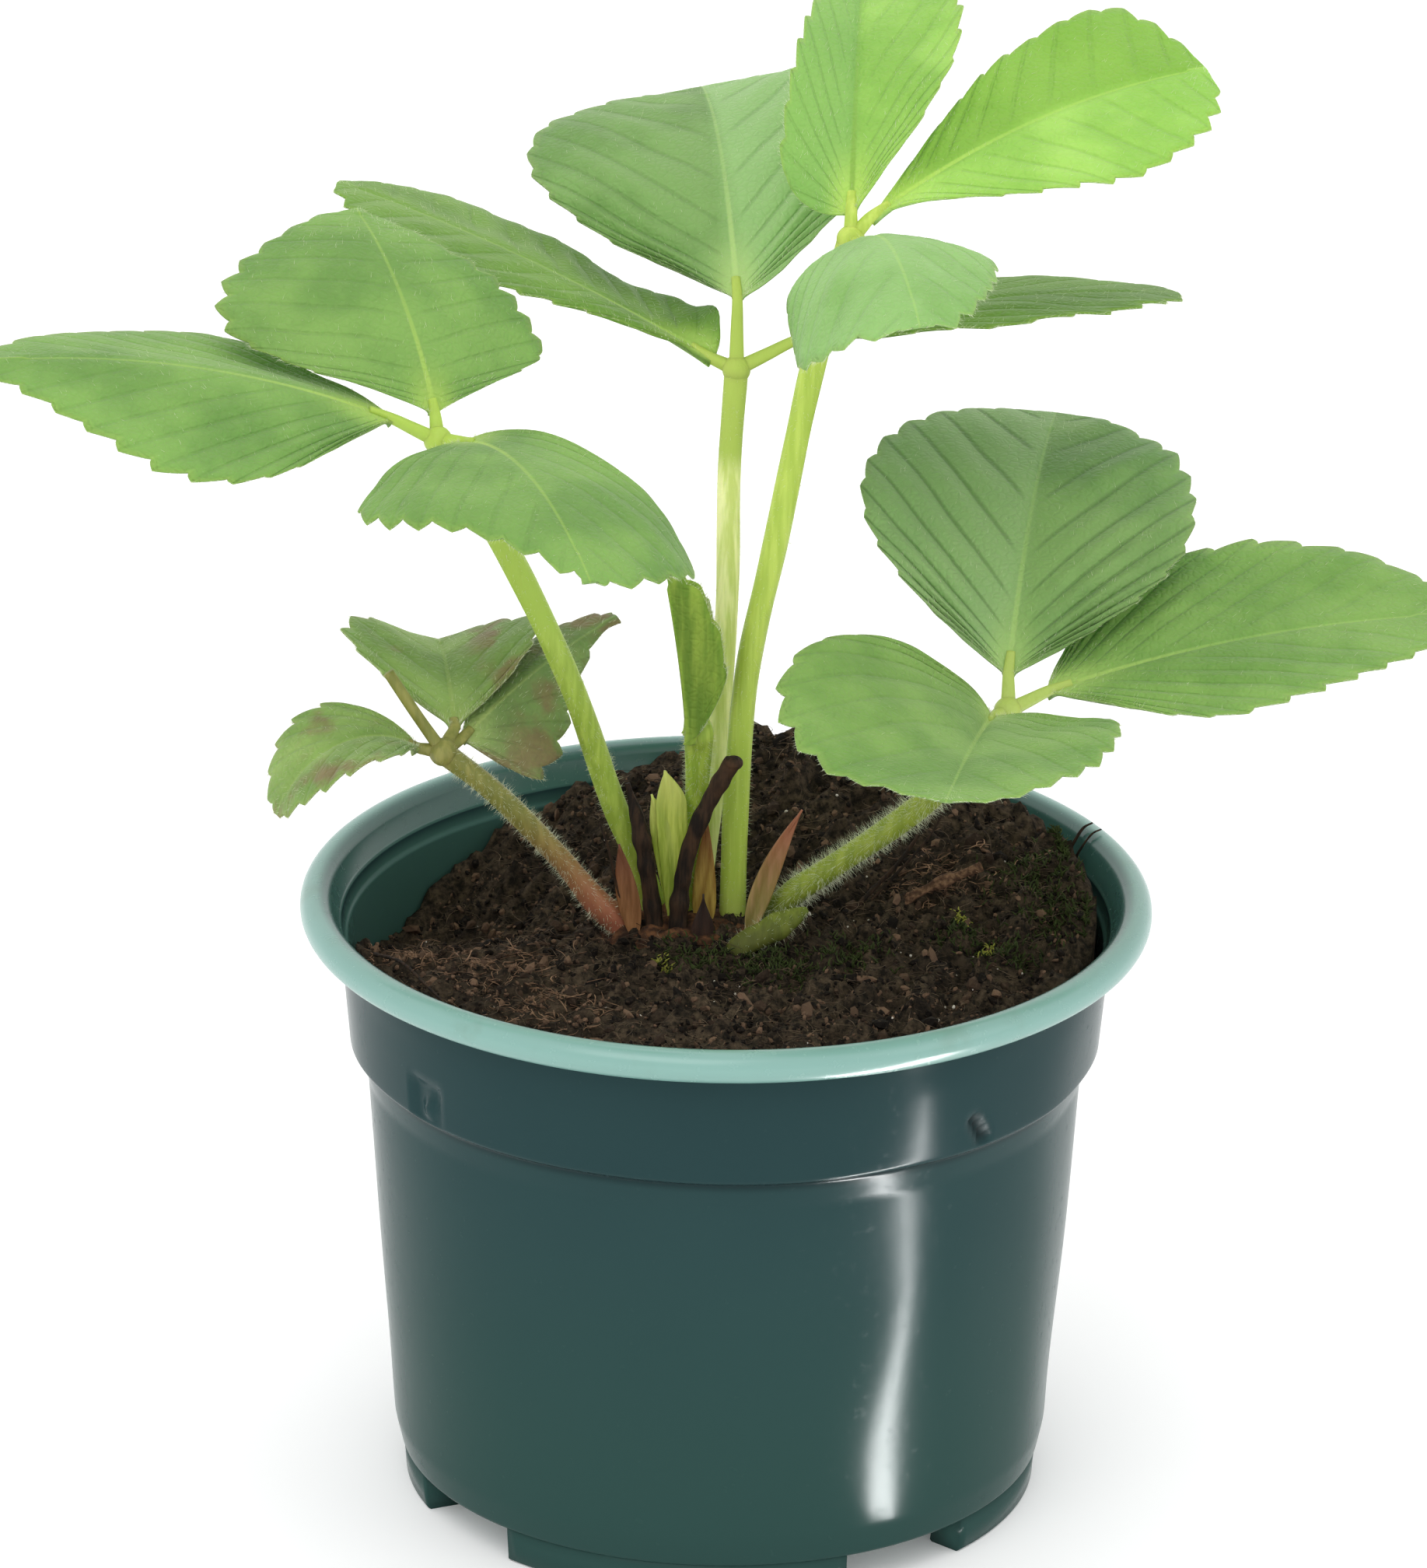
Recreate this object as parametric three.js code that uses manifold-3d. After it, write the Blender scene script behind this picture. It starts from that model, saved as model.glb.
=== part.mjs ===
// A strawberry plant in a round 12 cm plastic nursery pot.
// Millimetres, +Z up. The origin is on the pot's axis, in the plane that its feet stand on.
// Headings are degrees counter-clockwise from +X seen from above, rises are degrees above level.

import * as THREE from "three";
import { mergeVertices } from "three/addons/utils/BufferGeometryUtils.js";
import Module from "manifold-3d";

const wasm = await Module();
wasm.setup();

// Driving dimensions of the pot
const potSides = 40;
const rimRadius = 57.7;
const rimTube = 2.3;
const rimHeight = 86.6;
const wall = 1.0;
const floorBottom = 5.0;
const floorTop = 6.2;
const collarTop = [54.6, 84.2];
const collarFoot = [53.0, 66.9];
const bodyTop = [50.5, 62.0];
const bodyFoot = [46.6, 9.5];
const chamferFoot = [45.6, floorBottom];
const innerSteps = [[54.6, 84.8], [54.2, 84.4], [53.7, 82.6], [53.2, 82.2]];
const footBottom = [39.7, 45.0];
const footTop = [40.5, 45.4];
const footHeadings = [-98.7, -8.7, 81.3, 171.3];
const footGap = 19;
const drainRadius = 3.5;
const drainRing = 26;

// Soil
const soilLevel = 83.0;
const soilSides = 40;
const soilClearance = 0.4;
const soilMounds = [
  { at: [15, 42], height: 11, spread: 20 },
  { at: [50, 12], height: 4, spread: 18 },
  { at: [0, -44], height: 1.5, spread: 16 },
  { at: [-42, 18], height: -12, spread: 14 },
];
const soilRoughness = 0.9;

// Crown, the short stem that every stalk grows from
const crown = { at: [-6, -0.5], radius: 12.5, bottom: 74, shoulder: 82.6, top: 85.2, squash: 0.72 };
const gap = 0.35;

// Leaves
const bladeThickness = 0.7;
const toothDepth = 1.5;
const pleatHeight = 0.45;
const toothStart = 0.2;
const veinReach = 3.4;
const baseFade = 4;
const baseWedge = 1;
const tipBlunt = 0.55;

const leaves = {
  a: {
    colour: 0x6fa655,
    stalk: { radius: 1.75, flare: 1.8, path: [[-9.5, 2.5, 79.5], [-10.6, 2.1, 87], [-15.9, 0, 101.5],
      [-21.9, -6, 121.8], [-31.1, -10, 143.6], [-40.3, -14, 160.6]] },
    leaflets: {
      left: { petiolule: [186, 28, 7], heading: 190, turn: -8, rise: [25, -6], roll: -5, length: 59,
        width: [20, 18], peak: [0.42, 0.42], wedge: [1, 1], blunt: [1.1, 0.8],
        left: [-18, -18, -10], right: [-5, -8, -5], teeth: 10 },
      end: { petiolule: [104, 58, 3.6], heading: 119, turn: -10, rise: [66, 2], roll: 2, length: 38, reach: 1.6,
        width: [24, 20], peak: [0.52, 0.2], wedge: [1.1, 1.3], blunt: [0.55, 1.1],
        left: [0, -5, -15], right: [0, -8, -10], teeth: 10 },
      right: { petiolule: [320, 10, 5], heading: 294, turn: 0, rise: [22, -35], roll: 0, length: 46,
        width: [24, 21], peak: [0.75, 0.25], wedge: [1, 0.8], blunt: [0.5, 1.2],
        left: [20, -5, -45], right: [0, 0, -35], teeth: 9 },
    },
  },
  b: {
    colour: 0x6b9f58,
    stalk: { radius: 1.6, flare: 1.7, path: [[-4, 5, 79.5], [-3.6, 5.3, 87], [-1.6, 7, 106.6],
      [-0.4, 9, 128.9], [-0.3, 11, 148], [0.5, 14, 161.4]] },
    leaflets: {
      left: { petiolule: [165, 20, 3.6], heading: 158, turn: 0, rise: [24, 11], roll: 8, length: 60, fade: 14,
        width: [15.5, 15.5], peak: [0.55, 0.6], reach: 1.6, wedge: [1.7, 0.45], blunt: [0.55, 0.6],
        left: [0, 0, 0], right: [115, -4, 0], teeth: 10 },
      end: { petiolule: [90, 80, 10], heading: 96, turn: 0, rise: [42, -12], roll: -8, length: 55.5,
        width: [26.5, 23], peak: [0.58, 0.55], wedge: [1, 0.7], blunt: [0.55, 0.55],
        left: [-25, 2, 0], right: [10, 5, 0], teeth: 10 },
      right: { petiolule: [10, 25, 9], heading: 14, turn: 0, rise: [14, -8], roll: -10, length: 56,
        width: [16, 15.5], peak: [0.5, 0.5], wedge: [1, 1], blunt: [0.55, 0.55],
        left: [0, 0, 0], right: [0, -3, 0], teeth: 9 },
    },
  },
  c: {
    colour: 0x9fd84f,
    stalk: { radius: 1.75, flare: 1.85, path: [[0.9, 1, 79.5], [1, 1, 86], [1.3, 1, 101.7], [2.6, 1, 121.1],
      [6.3, 1, 140.5], [11.3, 2, 167], [16, 2, 184.9]] },
    leaflets: {
      end: { petiolule: [90, 70, 3.6], heading: 88, turn: 0, rise: [45, -2], roll: 0, length: 55,
        width: [9.5, 14], peak: [0.14, 0.6], wedge: [0.45, 0.8], blunt: [0.7, 0.6],
        left: [-35, 25, 0], right: [30, 10, 0], teeth: 9 },
      right: { petiolule: [20, 45, 4], heading: 30, turn: 0, rise: [28, 0], roll: 5, length: 56,
        width: [16, 17.5], peak: [0.86, 0.6], reach: 1.8, wedge: [1.2, 1.3], blunt: [0.5, 0.55],
        left: [5, 14, 0], right: [5, -10, 0], teeth: 10 },
      left: { petiolule: [290, 0, 3.6], heading: 280, turn: 0, rise: [35, -25], roll: 0, length: 46,
        width: [14, 20], peak: [0.5, 0.7], wedge: [1, 0.6], blunt: [0.55, 0.55],
        left: [0, 0, -30], right: [-10, -10, -70], teeth: 9 },
    },
  },
  d: {
    colour: 0x629650,
    stalk: { radius: 1.7, flare: 2, path: [[5.6, -1.2, 79.5], [6.3, -1.4, 84.5], [9.3, -2.9, 89.3], [14.1, -5, 93.8],
      [28.6, -10.3, 107.5], [38.7, -14, 121.8]] },
    leaflets: {
      left: { petiolule: [230, 0, 3.6], heading: 262, turn: 0, rise: [14, 4], roll: -5, length: 52.5, fade: 1.5,
        width: [20, 26.5], peak: [0.45, 0.55], wedge: [1, 1], blunt: [0.55, 0.55],
        left: [20, 10, 0], right: [60, 0, 0], teeth: 10 },
      end: { petiolule: [90, 60, 5], heading: 82, turn: 0, rise: [45, -5], roll: 0, length: 58.5,
        width: [23.7, 22.4], peak: [0.52, 0.48], wedge: [0.85, 0.8], blunt: [0.55, 0.55],
        left: [10, 5, 0], right: [10, -2, 0], teeth: 10 },
      right: { petiolule: [10, 25, 6], heading: 18, turn: -6, rise: [14, -2], roll: 8, length: 61,
        width: [20.5, 17.5], peak: [0.48, 0.38], wedge: [0.85, 1], blunt: [0.6, 0.65],
        left: [12, 8, 0], right: [-5, 0, 0], teeth: 10 },
    },
  },
  e: {
    colour: 0x6f8f4c,
    stalk: { radius: 1.6, flare: 2.3, path: [[-13.2, -1.4, 79.5], [-14.8, -2, 84], [-18, -3.4, 87.7],
      [-23.0, -5.0, 94.8], [-32.7, -9.0, 106.9], [-39.6, -11.0, 113.4]] },
    spur: { radius: 0.8, flare: 0.9, path: [[-39.6, -11, 113.4], [-43.2, -11, 118.8], [-47.2, -10.6, 125]] },
    leaflets: {
      left: { petiolule: [180, 10, 3.6], heading: 204, turn: 0, rise: [38, -75], roll: 0, length: 26,
        width: [10, 9], peak: [0.4, 0.4], wedge: [1, 1], blunt: [0.7, 0.7],
        left: [5, 5, 0], right: [20, 10, 0], teeth: 6 },
      end: { petiolule: [60, 40, 4], heading: 97, turn: 0, rise: [30, -15], roll: 0, length: 26,
        width: [14, 13], peak: [0.58, 0.58], wedge: [1, 1], blunt: [0.55, 0.55],
        left: [20, 20, 0], right: [20, 20, 0], teeth: 6 },
      right: { petiolule: [40, 20, 3.6], heading: 50, turn: 0, rise: [25, 5], roll: 0, length: 34,
        width: [6, 10.8], peak: [0.45, 0.18], wedge: [1, 0.7], blunt: [0.55, 1.9],
        left: [0, 0, 0], right: [-56, -56, 0], teeth: 6 },
    },
  },
};
const knobRadius = 2.1;
const petioluleRadius = 0.95;

// The young leaf is still folded: three leaflets side by side, each shut along its midrib
const youngLeaf = {
  stalk: { radius: 1.5, flare: 1.6, path: [[-5.8, 1, 79.5], [-5.7, 0.9, 87], [-4.5, 0.4, 100.9],
    [-4.2, -0.7, 107], [-4.1, -1.2, 112.5]] },
  knob: 2.3,
  folded: [
    { base: [-4.9, -3.1, 112], heading: 180, turn: 0, rise: [84, 79], roll: 0, length: 26,
      width: [5.6, 5.6], peak: [0.45, 0.45], left: [80, 80, 0], right: [80, 80, 0], teeth: 3, reach: 2.6 },
    { base: [-5, -1.1, 112.5], heading: 180, turn: 0, rise: [88, 84], roll: 0, length: 22,
      width: [4.2, 4.2], peak: [0.45, 0.45], left: [80, 80, 0], right: [80, 80, 0], teeth: 3, reach: 2.6 },
    { base: [-5.2, 0.9, 112], heading: 180, turn: 0, rise: [88, 86], roll: 0, length: 19,
      width: [3.6, 3.6], peak: [0.45, 0.45], left: [80, 80, 0], right: [80, 80, 0], teeth: 3, reach: 2.6 },
  ],
};

// Stipules, the dry or fleshy scales at the foot of the stalks
const stipules = {
  stipule_green: { colour: 0xa9b85c, blades: [
    { base: [-7.7, -2.2, 82], heading: 180, turn: 0, rise: [89, 86], roll: -90, length: 25.5,
      width: [1.6, 2.8], peak: [0.75, 0.8], blunt: [1, 1], left: [4, 4, 0], right: [4, 4, 0], teeth: 0 },
    { base: [-7.7, -2, 83], heading: 180, turn: 0, rise: [87, 77], roll: -90, length: 21,
      width: [1.3, 1.6], peak: [0.7, 0.7], blunt: [1, 1], left: [4, 4, 0], right: [4, 4, 0], teeth: 0 },
  ] },
  stipule_pink: { colour: 0xb98a6c, blades: [
    { base: [2.9, -4.6, 82], heading: 0, turn: 0, rise: [80, 60], roll: 80, length: 22.2,
      width: [1.5, 1.6], peak: [0.35, 0.4], blunt: [1, 1], left: [12, 12, 0], right: [12, 12, 0], teeth: 0 },
  ] },
  stipule_amber: { colour: 0xa8763c, blades: [
    { base: [-3.1, -2.3, 82], heading: 80, turn: 0, rise: [84, 88], roll: 0, length: 18,
      width: [1.8, 1.6], peak: [0.3, 0.3], blunt: [1, 1], left: [-10, -10, 0], right: [-10, -10, 0], teeth: 0 },
  ] },
  stipule_brown: { colour: 0x9a6440, blades: [
    { base: [-12.6, -5, 81.6], heading: 180, turn: 0, rise: [86, 76], roll: -85, length: 16,
      width: [1.9, 1.3], peak: [0.5, 0.4], blunt: [0.9, 0.9], left: [-10, -10, 0], right: [-10, -10, 0], teeth: 0 },
  ] },
  stipule_dark: { colour: 0x2e211b, blades: [
    { base: [-3.2, -6.6, 80.5], heading: 90, turn: 0, rise: [86, 90], roll: 0, length: 10,
      width: [2, 2], peak: [0.25, 0.25], blunt: [1.4, 1.4], left: [-20, -20, 0], right: [-20, -20, 0], teeth: 0 },
  ] },
};

// Cut and withered stalks, the sheath that is left of one, and a fallen twig
const oldStalks = {
  old_stalk_left: { radius: 1.25, flare: 1.3, path: [[-9.7, -3.3, 79.5], [-9.9, -3.4, 84.3], [-12, -3.4, 98.5],
    [-14, -2.2, 105.5]] },
  old_stalk_right: { radius: 1.2, flare: 1.4, path: [[-6, -4.6, 79.5], [-6.6, -4.6, 85], [-5.4, -4.7, 95.6],
    [-3, -5.2, 102.9], [0.8, -6, 110.6]] },
  old_sheath: { radius: 1.8, flare: 1.5, path: [[0.6, -10.4, 82], [2.9, -10.5, 84.8], [6.2, -10.4, 86.8],
    [9, -10, 88.4], [11.4, -9.6, 89.8]] },
};
const twig = { radius: 0.8, flare: 0.8, path: [[21.6, 1, 84.6], [28, 3.4, 87.6], [36, 6.4, 90]] };

const rad = THREE.MathUtils.degToRad;
const vec = ([x, y, z]) => new THREE.Vector3(x, y, z);

// Solids
function toSolid(geometry) {
  const bare = geometry.clone();
  for (const name of ["normal", "uv"]) bare.deleteAttribute(name);
  const merged = mergeVertices(bare, 1e-4);
  return new wasm.Manifold(new wasm.Mesh({
    numProp: 3,
    vertProperties: new Float32Array(merged.attributes.position.array),
    triVerts: new Uint32Array(merged.index.array),
  }));
}

function toGeometry(solid) {
  const mesh = solid.getMesh();
  const geometry = new THREE.BufferGeometry();
  geometry.setAttribute("position", new THREE.BufferAttribute(new Float32Array(mesh.vertProperties), 3));
  geometry.setIndex(new THREE.BufferAttribute(new Uint32Array(mesh.triVerts), 1));
  geometry.computeVertexNormals();
  return geometry;
}

const group = new THREE.Group();

function addPiece(name, solid, color, roughness = 0.6) {
  const mesh = new THREE.Mesh(toGeometry(solid),
    new THREE.MeshStandardMaterial({ color, roughness, metalness: 0 }));
  mesh.name = name;
  group.add(mesh);
}

function fromTriangles(points, triangles) {
  const geometry = new THREE.BufferGeometry();
  geometry.setAttribute("position", new THREE.Float32BufferAttribute(points.flatMap((p) => p.toArray()), 3));
  geometry.setIndex(triangles);
  return toSolid(geometry);
}

// A round stalk: rings set square to a smooth curve, wide at the foot and even above it, with flat ends
function stalkSolid({ radius, flare, path }, grow = 0, sides = 8) {
  const curve = new THREE.CatmullRomCurve3(path.map(vec), false, "centripetal");
  const steps = 2 * (path.length - 1);
  const frames = curve.computeFrenetFrames(steps, false);
  const points = [];
  const triangles = [];
  for (let i = 0; i <= steps; i += 1) {
    const along = i / steps;
    const centre = curve.getPointAt(along);
    const size = radius + (flare - radius) * Math.max(0, 1 - along / 0.35) + grow;
    for (let j = 0; j < sides; j += 1) {
      const turn = (2 * Math.PI * j) / sides;
      points.push(centre.clone()
        .addScaledVector(frames.normals[i], size * Math.cos(turn))
        .addScaledVector(frames.binormals[i], size * Math.sin(turn)));
    }
    if (i > 0) {
      for (let j = 0; j < sides; j += 1) {
        const [a, b] = [(i - 1) * sides + j, (i - 1) * sides + ((j + 1) % sides)];
        triangles.push(a, b, b + sides, a, b + sides, a + sides);
      }
    }
  }
  const last = steps * sides;
  for (let j = 1; j < sides - 1; j += 1) {
    triangles.push(0, j + 1, j, last, last + j, last + j + 1);
  }
  return fromTriangles(points, triangles);
}

function direction(heading, rise) {
  const [h, r] = [rad(heading), rad(rise)];
  return new THREE.Vector3(Math.cos(h) * Math.cos(r), Math.sin(h) * Math.cos(r), Math.sin(r));
}

// The midrib is walked in short straight steps whose heading and rise change evenly along it
function midrib(leaflet, start) {
  const steps = 48;
  const angles = (u) => [leaflet.heading + leaflet.turn * u,
    THREE.MathUtils.lerp(leaflet.rise[0], leaflet.rise[1], u)];
  const walk = [start.clone()];
  for (let i = 0; i < steps; i += 1) {
    const step = direction(...angles((i + 0.5) / steps)).multiplyScalar(leaflet.length / steps);
    walk.push(walk[i].clone().add(step));
  }
  return (u) => {
    const [heading, rise] = angles(u);
    const along = direction(heading, rise);
    const across = direction(heading - 90, 0);
    const up = new THREE.Vector3().crossVectors(across, along);
    const roll = rad(leaflet.roll);
    const right = across.clone().multiplyScalar(Math.cos(roll)).addScaledVector(up, -Math.sin(roll));
    const normal = up.multiplyScalar(Math.cos(roll)).addScaledVector(across, Math.sin(roll));
    const at = Math.min(Math.max(u, 0) * steps, steps - 1e-6);
    const cell = Math.floor(at);
    const centre = walk[cell].clone().lerp(walk[cell + 1], at - cell);
    if (u > 1) centre.addScaledVector(along, (u - 1) * leaflet.length);
    return { centre, right, normal };
  };
}

// Half width as a share of the widest: a quarter sine wave from the base, another to the tip. The power
// of each wave makes that end fuller below 1 and hollower above 1.
function outline(leaflet, side, u) {
  if (u <= 0 || u >= 1) return 0;
  const peak = leaflet.peak[side];
  return u < peak ? Math.sin((Math.PI / 2) * (u / peak)) ** (leaflet.wedge?.[side] ?? baseWedge)
    : Math.sin((Math.PI / 2) * ((1 - u) / (1 - peak))) ** (leaflet.blunt?.[side] ?? tipBlunt);
}

// Shares of the midrib's length that lie at even steps along the margin
function marginStations(leaflet, side, shares) {
  const samples = 240;
  const run = [0];
  for (let i = 1; i <= samples; i += 1) {
    const [u0, u1] = [(i - 1) / samples, i / samples];
    const rise = leaflet.width[side] * (outline(leaflet, side, u1) - outline(leaflet, side, u0));
    run.push(run[i - 1] + Math.hypot(leaflet.length / samples, rise));
  }
  return shares.map((share) => {
    const target = share * run[samples];
    const i = Math.max(1, run.findIndex((value) => value >= target - 1e-9));
    return (i - 1 + (target - run[i - 1]) / (run[i] - run[i - 1])) / samples;
  });
}

// Places along the margin: a plain wedge at the base, then for each tooth its notch and its point
function marginPlaces(teeth) {
  if (teeth === 0) {
    return [0, 0.12, 0.3, 0.5, 0.7, 0.86, 1].map((share) => ({ share, tooth: 0, ridge: 0 }));
  }
  const places = [0, 0.06, 0.13].map((share) => ({ share, tooth: 0, ridge: 0 }));
  const pitch = (1 - toothStart) / (teeth + 0.5);
  for (let k = 0; k <= teeth; k += 1) {
    const notch = toothStart + k * pitch;
    places.push({ share: notch, tooth: 0, ridge: 1 });
    if (k < teeth) {
      places.push({ share: notch + 0.64 * pitch, tooth: 1, ridge: -0.7 });
    }
  }
  places.push({ share: 1, tooth: 0.7, ridge: 0 });
  return places;
}

// A leaflet is a thin closed shell. Each row of points is a pair of side veins: it starts on the midrib
// and runs out and forward to the margin on both sides. Each side is tilted from level by its fold,
// which starts at a base value and fades to the blade's own, and curls evenly out to the margin.
function bladeSolid(leaflet, start, thickness = bladeThickness, grow = 0) {
  const rib = midrib(leaflet, start);
  const places = marginPlaces(leaflet.teeth);
  const shares = places.map((place) => place.share);
  const stations = [0, 1].map((side) => marginStations(leaflet, side, shares));
  const sides = [leaflet.left, leaflet.right];
  const upper = [];
  const lower = [];
  places.forEach((place, row) => {
    const mean = (stations[0][row] + stations[1][row]) / 2;
    const ribAt = mean ** (leaflet.reach ?? veinReach);
    for (const t of [-1, -0.5, 0, 0.5, 1]) {
      const side = t < 0 ? 0 : 1;
      const sign = t < 0 ? -1 : 1;
      const share = Math.abs(t);
      const half = Math.max(leaflet.width[side] * outline(leaflet, side, stations[side][row]), 0.8) + grow;
      const reach = Math.hypot((stations[side][row] - ribAt) * leaflet.length, half);
      const stretch = 1 + (share * place.tooth * toothDepth) / Math.max(reach, 4);
      const u = ribAt + (stations[side][row] - ribAt) * share * stretch;
      const out = half * share * stretch;
      const [foldBase, foldTip, curl] = sides[side];
      const steepest = Math.atan((0.8 * half) / thickness);
      const wanted = rad(foldTip + (foldBase - foldTip) * (1 - Math.min(u, 1)) ** (leaflet.fade ?? baseFade));
      const fold = Math.min(Math.max(wanted, -steepest), steepest);
      const bend = rad(curl) / leaflet.width[side];
      const tilt = fold + bend * out;
      const flat = Math.abs(bend) < 1e-6;
      const level = flat ? out * Math.cos(fold) : (Math.sin(tilt) - Math.sin(fold)) / bend;
      const height = flat ? out * Math.sin(fold) : (Math.cos(fold) - Math.cos(tilt)) / bend;
      const { centre, right, normal } = rib(u);
      const mid = share === 0;
      const up = normal.clone().multiplyScalar(mid ? 1 : Math.cos(tilt));
      if (!mid) up.addScaledVector(right, -sign * Math.sin(tilt));
      const lift = pleatHeight * place.ridge * Math.sin(Math.PI * Math.min(share, 0.9));
      const point = centre.addScaledVector(right, sign * level).addScaledVector(normal, height)
        .addScaledVector(up, lift);
      const keel = mid ? 0.9 * (1 - mean) ** 1.5 : 0;
      upper.push(point.clone().addScaledVector(up, thickness / 2));
      lower.push(point.clone().addScaledVector(up, -thickness / 2 - keel));
    }
  });
  return sheetSolid(upper, lower, places.length, 5);
}

// Two like grids of points, an upper and a lower one, closed round their edge
function sheetSolid(upper, lower, rows, columns) {
  const points = [...upper, ...lower];
  const below = upper.length;
  const at = (row, column) => row * columns + column;
  const triangles = [];
  for (let i = 0; i < rows - 1; i += 1) {
    for (let j = 0; j < columns - 1; j += 1) {
      const [a, b, c, d] = [at(i, j), at(i, j + 1), at(i + 1, j + 1), at(i + 1, j)];
      const split = j < (columns - 1) / 2 ? [[a, b, c], [a, c, d]] : [[a, b, d], [b, c, d]];
      for (const [p, q, r] of split) {
        triangles.push(p, q, r, below + p, below + r, below + q);
      }
    }
  }
  const edge = [];
  for (let j = 0; j < columns - 1; j += 1) edge.push(at(0, j));
  for (let i = 0; i < rows - 1; i += 1) edge.push(at(i, columns - 1));
  for (let j = columns - 1; j > 0; j -= 1) edge.push(at(rows - 1, j));
  for (let i = rows - 1; i > 0; i -= 1) edge.push(at(i, 0));
  edge.forEach((p, k) => {
    const q = edge[(k + 1) % edge.length];
    triangles.push(p, below + p, below + q, p, below + q, q);
  });
  return fromTriangles(points, triangles);
}

// Pot: one lathed wall, with four feet under its floor and drain holes through it
function lathe(profile, sides) {
  const geometry = new THREE.LatheGeometry(profile.map(([r, z]) => new THREE.Vector2(r, z)), sides);
  geometry.rotateX(Math.PI / 2);
  return toSolid(geometry);
}

function potSolid() {
  const lip = [210, 255, 300, 345, 30, 75, 120, 165].map((angle) => [
    rimRadius + rimTube * Math.cos(rad(angle)), rimHeight + rimTube * Math.sin(rad(angle))]);
  const shell = lathe([
    [0, floorBottom], chamferFoot, bodyFoot, bodyTop, collarFoot, collarTop, ...lip, ...innerSteps,
    [collarFoot[0] - wall, collarFoot[1]], [bodyTop[0] - wall, bodyTop[1]],
    [bodyFoot[0] - wall, bodyFoot[1]], [chamferFoot[0] - wall, floorTop], [0, floorTop],
  ], potSides);
  const ring = lathe([
    [footBottom[0], 0], [footBottom[1], 0], [footTop[1], floorBottom + 0.3], [footTop[0], floorBottom + 0.3],
    [footBottom[0], 0],
  ], potSides);
  let feet = ring;
  for (const heading of footHeadings) {
    const channel = new THREE.BoxGeometry(20, footGap, 2 * floorBottom);
    channel.translate(41, 0, 0);
    channel.rotateZ(rad(heading + 45));
    feet = feet.subtract(toSolid(channel));
  }
  let pot = shell.add(feet);
  const holes = [[0, 0], ...footHeadings.map((h) => [drainRing * Math.cos(rad(h)), drainRing * Math.sin(rad(h))])];
  for (const [x, y] of holes) {
    const hole = new THREE.CylinderGeometry(drainRadius, drainRadius, 6, 12);
    hole.rotateX(Math.PI / 2);
    hole.translate(x, y, floorTop);
    pot = pot.subtract(toSolid(hole));
  }
  return pot;
}

// Soil: level ground with mounds, a hollow and small seeded clods
function soilHeight(x, y) {
  let z = soilLevel;
  for (const { at, height, spread } of soilMounds) {
    z += height * Math.exp(-((x - at[0]) ** 2 + (y - at[1]) ** 2) / (2 * spread ** 2));
  }
  return z + soilRoughness * (Math.sin(x * 0.61 + 1.3 * Math.sin(y * 0.37)) * Math.sin(y * 0.53 + 0.8)
    + 0.5 * Math.sin(x * 1.13 - y * 0.91));
}

function soilSolid() {
  const rings = [5, 10, 15, 20, 25, 30, 35, 40, 44.5, 48.5, 51.6];
  const points = [new THREE.Vector3(0, 0, soilHeight(0, 0))];
  const triangles = [];
  const ringPoint = (r, j, z) => {
    const turn = (2 * Math.PI * j) / soilSides;
    const [x, y] = [r * Math.cos(turn), r * Math.sin(turn)];
    return new THREE.Vector3(x, y, z ?? soilHeight(x, y));
  };
  for (const r of rings) {
    for (let j = 0; j < soilSides; j += 1) points.push(ringPoint(r, j));
  }
  const side = [[collarFoot[0], collarFoot[1]], [bodyTop[0], bodyTop[1]], [bodyFoot[0], bodyFoot[1]],
    [chamferFoot[0] - 0.3, floorTop + soilClearance]];
  for (const [r, z] of side) {
    for (let j = 0; j < soilSides; j += 1) points.push(ringPoint(r - wall - soilClearance, j, z));
  }
  points.push(new THREE.Vector3(0, 0, floorTop + soilClearance));
  const count = rings.length + side.length;
  for (let j = 0; j < soilSides; j += 1) {
    const k = (j + 1) % soilSides;
    triangles.push(0, 1 + j, 1 + k);
    for (let i = 0; i < count - 1; i += 1) {
      const [a, b] = [1 + i * soilSides + j, 1 + i * soilSides + k];
      triangles.push(a, a + soilSides, b + soilSides, a, b + soilSides, b);
    }
    const last = 1 + (count - 1) * soilSides;
    triangles.push(last + j, points.length - 1, last + k);
  }
  return fromTriangles(points, triangles);
}

function crownSolid(grow = 0) {
  const profile = [[0, crown.bottom - grow], [7 + grow, crown.bottom - grow], [crown.radius - 1.5 + grow, 78],
    [crown.radius - 0.5 + grow, crown.shoulder], [crown.radius - 5, crown.top + grow], [0, crown.top + 0.6 + grow]];
  const geometry = new THREE.LatheGeometry(profile.map(([r, z]) => new THREE.Vector2(r, z)), 16);
  geometry.rotateX(Math.PI / 2);
  geometry.scale(1, crown.squash, 1);
  geometry.translate(crown.at[0], crown.at[1], 0);
  return toSolid(geometry);
}

function ball(at, radius) {
  const geometry = new THREE.IcosahedronGeometry(radius, 1);
  geometry.translate(at.x, at.y, at.z);
  return toSolid(geometry);
}

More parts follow.
